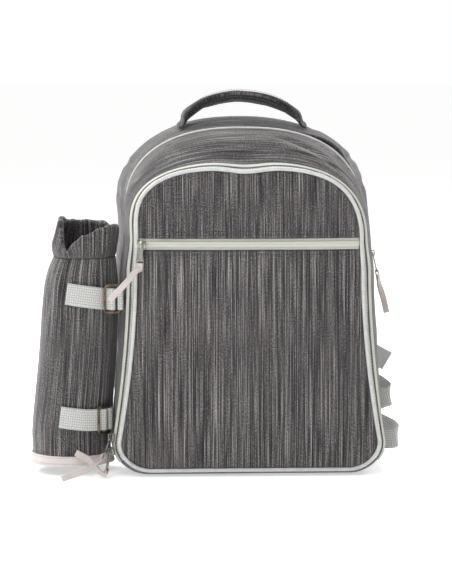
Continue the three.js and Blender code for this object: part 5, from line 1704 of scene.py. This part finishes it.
def ring_mesh(middle, wide, out):
    """Rounded wire frame with a bar up its middle."""
    w, h = (RING_WIDTH - RING_WIRE) / 2, (RING_HEIGHT - RING_WIRE) / 2
    r = 4.0
    path = []
    for start, x, z in ((0, w - r, h - r), (90, r - w, h - r), (180, r - w, r - h), (270, w - r, r - h)):
        for a in np.radians(start + np.linspace(0, 90, 8)):
            path.append(middle + wide * (x + r * math.cos(a)) + UP * (z + r * math.sin(a)))
    points, side, up = frames_along(path, out, True)
    loop = sweep(points, side, up, circle(RING_WIRE, 14), True)
    bar = middle + UP * np.linspace(-h, h, 14)[:, None]
    points, side, up = frames_along(bar, out)
    return joined([loop, sweep(points, side, up, circle(RING_WIRE * 0.94, 14))])


BOX_INSET = 3.2  # of the box stitching from the webbing's edge


def box_stitching(points, side, up, first, last):
    """Rows of stitches in a box on both faces of a doubled strap, first to last from its end."""
    rows = []
    total = len(points) - 1
    for near in (True, False):
        span = np.arange(first, last) if near else total - np.arange(first, last)
        line, s, n = points[span], side[span], up[span]
        other = points[total - span]
        outward = n * np.where(dot(line - other, n) > 0, 1, -1)
        line = line + outward * (WEBBING_THICKNESS / 2 - 0.01)
        half = WEBBING / 2 - BOX_INSET
        for sign in (-1, 1):
            rows.append(stitches(line + s * sign * half, outward, 2, 0.7, 0.26))
        for k in (0, -1):
            width = np.linspace(-half, half, 9)[:, None]
            rows.append(stitches(line[k] + s[k] * width, outward[k], 2, 0.7, 0.26))
    return rows


# Handle and shoulder straps
HANDLE_DEPTH = MAIN_SEAM + share(27)


def handle_frames(count):
    """The handle's middle line with its sides, its tops and its thickness at each point."""
    top = BAG_HEIGHT + HANDLE_RISE - HANDLE_THICKNESS / 2
    shares = np.linspace(-1, 1, count)
    row = row_at(HANDLE_ROWS, "across", shares)
    thickness = mix(HANDLE_END, HANDLE_THICKNESS, ease(row["rise"], 0, 0.3))
    points, sides = [], []
    lean = math.radians(HANDLE_LEAN)
    for i, s in enumerate(shares):
        x = HANDLE_SHIFT + s * HANDLE_REACH
        right = turn_at_top(HANDLE_DEPTH, abs(x + SWAY) - SWAY)
        turn = right if x + SWAY > 0 else 1 - right
        lift = thickness[i] / 2 + 2 * GAP
        p = bag_point(HANDLE_DEPTH, turn) + bag_normal(HANDLE_DEPTH, turn) * lift
        height = max(row["rise"][i], 0) * (top - p[2])
        p = p + np.array([0, height * math.tan(lean), height])
        sewn = unit(bag_point(HANDLE_DEPTH + 0.05, turn) - bag_point(HANDLE_DEPTH - 0.05, turn))
        a = lean * row["lean"][i]
        leaned = np.array([0, math.cos(a), -math.sin(a)])
        points.append(p)
        sides.append(mix(sewn, leaned, min(max(row["lean"][i], 0), 1)))
    return *frames_along(points, sides), thickness


FILL_STEPS = 20


def points_of(mesh):
    at = np.empty(len(mesh.vertices) * 3)
    mesh.vertices.foreach_get("co", at)
    return at.reshape(-1, 3)


def filled(name, made, line, side, material, node, context, room, voxel):
    """Padded piece: its form remeshed, filled by pressure and smoothed, riding on the bag."""
    padding = context.scene.cooler_padding
    points, faces, _ = made
    mesh = bpy.data.meshes.new(name)
    mesh.from_pydata((points * MM + ORIGIN).tolist(), [], faces)
    tidy(mesh)
    obj = new_object(name, mesh, material)
    remesh = obj.modifiers.new("even", "REMESH")
    remesh.mode = "VOXEL"
    remesh.voxel_size = voxel * MM
    apply_modifiers(obj)
    before = points_of(obj.data)
    cloth = obj.modifiers.new("fill", "CLOTH")
    cloth.settings.quality = 6
    cloth.settings.mass = 0.3
    cloth.settings.use_pressure = True
    cloth.settings.uniform_pressure_force = padding.pressure
    cloth.settings.effector_weights.gravity = 0
    cloth.point_cache.frame_start = 1
    cloth.point_cache.frame_end = FILL_STEPS
    for step in range(1, FILL_STEPS + 1):
        context.scene.frame_set(step)
    apply_modifiers(obj)
    context.scene.frame_set(1)
    moved = points_of(obj.data) - before
    far = np.linalg.norm(moved, axis=1, keepdims=True)
    moved *= np.minimum(1, room * MM / np.maximum(far, 1e-9))
    obj.data.vertices.foreach_set("co", (before + moved).ravel())
    smooth = obj.modifiers.new("fine", "SUBSURF")
    smooth.levels = smooth.render_levels = 1
    apply_modifiers(obj)
    thread_from_line(obj.data, line, side)
    obj.data.polygons.foreach_set("use_smooth", [True] * len(obj.data.polygons))
    dressed(obj, node)
    return obj


def thread_from_line(mesh, line, side):
    """Lays the thread along a line: across it, then the distance along it."""
    at = (points_of(mesh) - ORIGIN) / MM
    nearest = np.argmin(((at[:, None] - line[None]) ** 2).sum(-1), axis=1)
    along = unit(np.gradient(line, axis=0))
    off = at - line[nearest]
    run = lengths_along(line)[nearest] + dot(off, along[nearest])[:, 0]
    across = dot(off, side[nearest])[:, 0]
    corners = np.empty(len(mesh.loops), int)
    mesh.loops.foreach_get("vertex_index", corners)
    layer = mesh.uv_layers.new(name="thread")
    layer.data.foreach_set("uv", np.stack([across, run], -1)[corners].astype(np.float32).ravel())


class COOLER_OT_carry_handle(bpy.types.Operator):
    """Make the padded carry handle and the two rows of stitching along its edges"""

    bl_idname = "cooler.carry_handle"
    bl_label = "Carry handle"

    def execute(self, context):
        # Painted shade: the handle's cloth is the charcoal heather darkened to 0.36, as if the whole handle
        # lay in shadow.
        cloth = finish("handle_heather", heather, looks_of(context), 0.36)
        points, side, up, thickness = handle_frames(70)
        plump = thickness + 0.3 * (thickness - HANDLE_END)
        section = np.stack([pad_section(HANDLE_WIDTH - 1, t) for t in plump])
        made = sweep(points, side, up, section)
        filled("carry_strap", made, points, side, cloth, "carry_handle", context, room=1.2, voxel=2.2)
        thread = finish("dark_thread", ribbed, scaled(trim_of(context).thread, 1))
        rows = []
        upward = np.where(up[:, 2:3] > 0, up, -up)
        for sign in (-1, 1):
            raised = 0.65 * thickness - 0.15 * HANDLE_END
            line = points + side * sign * (HANDLE_WIDTH / 2 - 3.4) + upward * raised[:, None]
            rows.append(stitches(line, upward, 2.6, 0.9, 0.3))
        make("handle_stitching", joined(rows), thread)
        return {"FINISHED"}


BACK_FACE = (1 - MAIN_SEAM) * BAG_DEPTH + BACK_PAD / 2
PLAIN_END = [(1.36, 0.12, 0.12), (0.56, 0.04, 0.08)]
STRAY_END = [(1.04, 0.96, 0.12), (0.48, 0.28, 0.08)]
SHOULDER_STRAPS = (
    ("left", -1, LEFT_WEBBING, PLAIN_END, [(0.48, 1.36), (0.48, 1.04)]),
    ("right", 1, LOOSE_WEBBING, STRAY_END, [(0.24, 0.64), (0.96, 0.68)]),
)


def pad_line(sign, count):
    """Middle line of a shoulder pad, and its width at each point."""
    clear = BACK_FACE + BACK_CROWN + PAD_THICKNESS / 2 + GAP
    rows = PAD_ROWS
    known = point(sign * rows["across"] * HALF, clear + rows["off"] * PAD_BOW, rows["up"] * BAG_HEIGHT)
    path = through(known, count)
    widths = np.interp(np.linspace(0, 6, count), np.arange(7), rows["width"]) * PAD_WIDTH
    return path, widths


class COOLER_OT_shoulder_straps(bpy.types.Operator):
    """Make the two padded shoulder straps with their buckles and webbing"""

    bl_idname = "cooler.shoulder_straps"
    bl_label = "Shoulder straps"

    def execute(self, context):
        trim = trim_of(context)
        cloth = finish("charcoal_heather", heather, looks_of(context))
        plastic = finish("buckle_grain", moulded, trim.buckle)
        strap_cloth = finish("webbing_weave", basket_weave, trim.webbing)
        padding = context.scene.cooler_padding
        for name, sign, loose, free_end, sewn_at in SHOULDER_STRAPS:
            path, widths = pad_line(sign, 60)
            points, side, up = frames_along(path, (1, 0, 0))
            section = np.stack([pad_section(w - 2, PAD_THICKNESS - 1.6, 11) for w in widths])
            made = sweep(points, side, up, section)
            filled(
                name + "_shoulder_pad",
                made,
                points,
                side,
                cloth,
                name + "_pad",
                context,
                padding.room / MM,
                padding.voxel / MM,
            )
            copy_of(name + "_buckle", name + "_ladder_buckle", plastic, 0.6)
            line, sides = webbing_line(sign, loose, free_end, sewn_at)
            _, _, _, made = strap_mesh(line, sides, 171 + sign)
            make(name + "_strap_tail", made, strap_cloth, name + "_webbing")
        return {"FINISHED"}


def webbing_line(sign, loose, free_end, sewn_at):
    """Line of a shoulder strap's webbing, from its free end round the buckle to its sewn end."""
    path, _ = pad_line(sign, 13)
    end = path[-1]
    up = unit(path[-2] - end)
    middle = end + up * (-GAP - BUCKLE_LENGTH / 2)
    wide = unit(np.array([1.0, 0, 0]) - up * up[0])
    face = np.cross(wide, up)
    bar = middle + up * (BUCKLE_BAR - BUCKLE_LENGTH) / 2
    wrap = math.hypot(BUCKLE_BAR, BUCKLE_THICKNESS) / 2 + GAP + WEBBING_THICKNESS

    def beside(down, across, off):
        return bar - up * down + face * off + np.array([sign * across, 0, 0])

    tail = [beside(d * WEBBING, a * WEBBING, wrap + o * WEBBING) for d, a, o in free_end]
    turn = [
        beside(-wrap * math.cos(math.radians(a)), 0, wrap * math.sin(math.radians(a)))
        for a in (90, 45, 0, -45, -90)
    ]
    corner = float(bag_point(1.0, turn_at_height(1.0, 60))[0])
    known = [(beside(7, 0, -wrap), wide * sign)]
    for k in range(len(loose["up"])):
        p = point(
            sign * (corner + loose["across"][k] * WEBBING),
            BACK_FACE + loose["off"][k] * WEBBING,
            loose["up"][k] * WEBBING,
        )
        known.append((p, unit(np.array([sign * (1 - loose["lie"][k]), 0, loose["lie"][k]]))))
    for inward, height in sewn_at:
        place = sign * (corner - inward * WEBBING)
        p = on_back(place, height * WEBBING, WEBBING_THICKNESS / 2 + 3 * GAP)
        known.append((p, known[-1][1]))
    points = np.array([k[0] for k in known])
    sides = np.array([k[1] for k in known])
    line, across = through(points, len(known) * 8, sides)
    first = across[:1]
    around_bar = np.concatenate([tail, turn])
    return np.concatenate([around_bar, line]), np.concatenate([np.repeat(first, len(around_bar), 0), across])


# Floor, light and camera
FLOOR_SIDE = 30.0
WHITE = (1, 1, 1, 1)
SKY_SIDES = (((0, 0, 1), 1.25), ((0.1, 1, 0), 0.5), ((-1, 0, 0.2), 0.3))
LIGHTS = (
    ("back_left", (-1.9, 1.3, 1.9), 1.4, 1.5),
    ("back_right", (1.9, 1.2, 1.7), 1.4, 0.5),
    ("above", (-0.2, 0.5, 2.6), 1.6, 0.9),
    ("front_above", (-0.5, -1.1, 1.7), 0.9, 0.26),
    ("front_left", (-1.6, -2.3, 1.8), 1.8, 0.3),
)
CAMERA_AZIMUTH, CAMERA_ELEVATION, CAMERA_LENS = -2.6, 6.0, 145.5


class COOLER_OT_stage(bpy.types.Operator):
    """Make the pale floor, the soft light and the camera"""

    bl_idname = "cooler.stage"
    bl_label = "Stage"

    def execute(self, context):
        stage = context.scene.cooler_stage
        mesh = bpy.data.meshes.new("floor")
        corners = [(x * FLOOR_SIDE, y * FLOOR_SIDE, 0) for x, y in ((-1, -1), (1, -1), (1, 1), (-1, 1))]
        mesh.from_pydata(corners, [], [(0, 1, 2, 3)])
        floor_finish = Finish("floor_paint", Roughness=0.9, Emission_Strength=0.5)
        mottle = floor_finish.noise(floor_finish.place(), (90, 90, 90), 3)
        floor_finish.colour(
            floor_finish.ramp(mottle, [(0.2, scaled(stage.floor, 0.985)), (0.8, scaled(stage.floor, 1.01))])
        )
        floor = new_object("floor", mesh, floor_finish.material)

        world = bpy.data.worlds.new("studio")
        context.scene.world = world
        world.use_nodes = True
        tree = world.node_tree
        tree.nodes.remove(tree.nodes["Background"])
        air = Nodes(tree)
        direction = air.node("TexCoord", output="Generated")
        strength = 0.3 * stage.sky
        for way, gain in SKY_SIDES:
            facing = air.node("VectorMath", {"operation": "DOT_PRODUCT"}, {0: direction, 1: way}, "Value")
            strength = air.math("MULTIPLY_ADD", air.math("MAXIMUM", facing, 0), gain * stage.sky, strength)
        sky = air.node("Background", {}, {"Color": WHITE, "Strength": strength})
        plain = air.node("Background", {}, {"Color": WHITE, "Strength": 1.0})
        seen = air.node("LightPath", output="Is Camera Ray")
        shown = air.node("MixShader", {}, {"Fac": seen, 1: sky, 2: plain})
        tree.links.new(shown, tree.nodes["World Output"].inputs["Surface"])

        for name, at, size, share_of_key in LIGHTS:
            light = bpy.data.lights.new(name, "AREA")
            light.shape = "DISK"
            light.size = size
            light.energy = stage.key * share_of_key
            lamp = bpy.data.objects.new(name, light)
            lamp.location = at
            lamp.rotation_euler = (Vector((0, 0, 0.2)) - Vector(at)).to_track_quat("-Z", "Y").to_euler()
            context.scene.collection.objects.link(lamp)

        data = bpy.data.cameras.new("camera")
        data.lens = CAMERA_LENS
        data.sensor_width = 36
        data.shift_x = -0.035
        data.shift_y = 0.009
        camera = bpy.data.objects.new("camera", data)
        azimuth, elevation = math.radians(CAMERA_AZIMUTH), math.radians(CAMERA_ELEVATION)
        level = math.cos(elevation)
        back = Vector((math.sin(azimuth) * level, -math.cos(azimuth) * level, math.sin(elevation)))
        aim = Vector((ORIGIN[0], ORIGIN[1], 0.2))
        camera.location = aim + back * stage.distance
        camera.rotation_euler = (-back).to_track_quat("-Z", "Y").to_euler()
        context.scene.collection.objects.link(camera)
        context.scene.camera = camera
        context.scene.view_settings.view_transform = "Standard"
        return {"FINISHED"}


OPERATORS = (
    COOLER_OT_stage,
    COOLER_OT_gussets,
    COOLER_OT_front_panels,
    COOLER_OT_back_panel,
    COOLER_OT_pipings,
    COOLER_OT_zips,
    COOLER_OT_zip_pulls,
    COOLER_OT_bottle_sleeve,
    COOLER_OT_bottle_collar,
    COOLER_OT_fastenings,
    COOLER_OT_carry_handle,
    COOLER_OT_shoulder_straps,
)
GROUPS = (
    ("cooler_cloth", CoolerClothLooks),
    ("cooler_trim", CoolerTrimLooks),
    ("cooler_padding", CoolerPadding),
    ("cooler_stage", CoolerStage),
)


class COOLER_PT_pieces(bpy.types.Panel):
    """Lists the pieces of the cooler backpack"""

    bl_idname = "COOLER_PT_pieces"
    bl_label = "Cooler backpack"
    bl_space_type = "VIEW_3D"
    bl_region_type = "UI"
    bl_category = "Cooler"

    def draw(self, context):
        for kind in OPERATORS:
            self.layout.operator(kind.bl_idname)
        for name, group in GROUPS:
            box = self.layout.box()
            for key in group.__annotations__:
                box.prop(getattr(context.scene, name), key)


def register():
    for name, group in GROUPS:
        bpy.utils.register_class(group)
        setattr(bpy.types.Scene, name, bpy.props.PointerProperty(type=group))
    for kind in (*OPERATORS, COOLER_PT_pieces):
        bpy.utils.register_class(kind)


def unregister():
    for kind in (COOLER_PT_pieces, *reversed(OPERATORS)):
        bpy.utils.unregister_class(kind)
    for name, group in reversed(GROUPS):
        delattr(bpy.types.Scene, name)
        bpy.utils.unregister_class(group)


def main():
    register()
    for kind in OPERATORS:
        group, name = kind.bl_idname.split(".")
        getattr(getattr(bpy.ops, group), name)()
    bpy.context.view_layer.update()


if __name__ == "__main__":
    main()
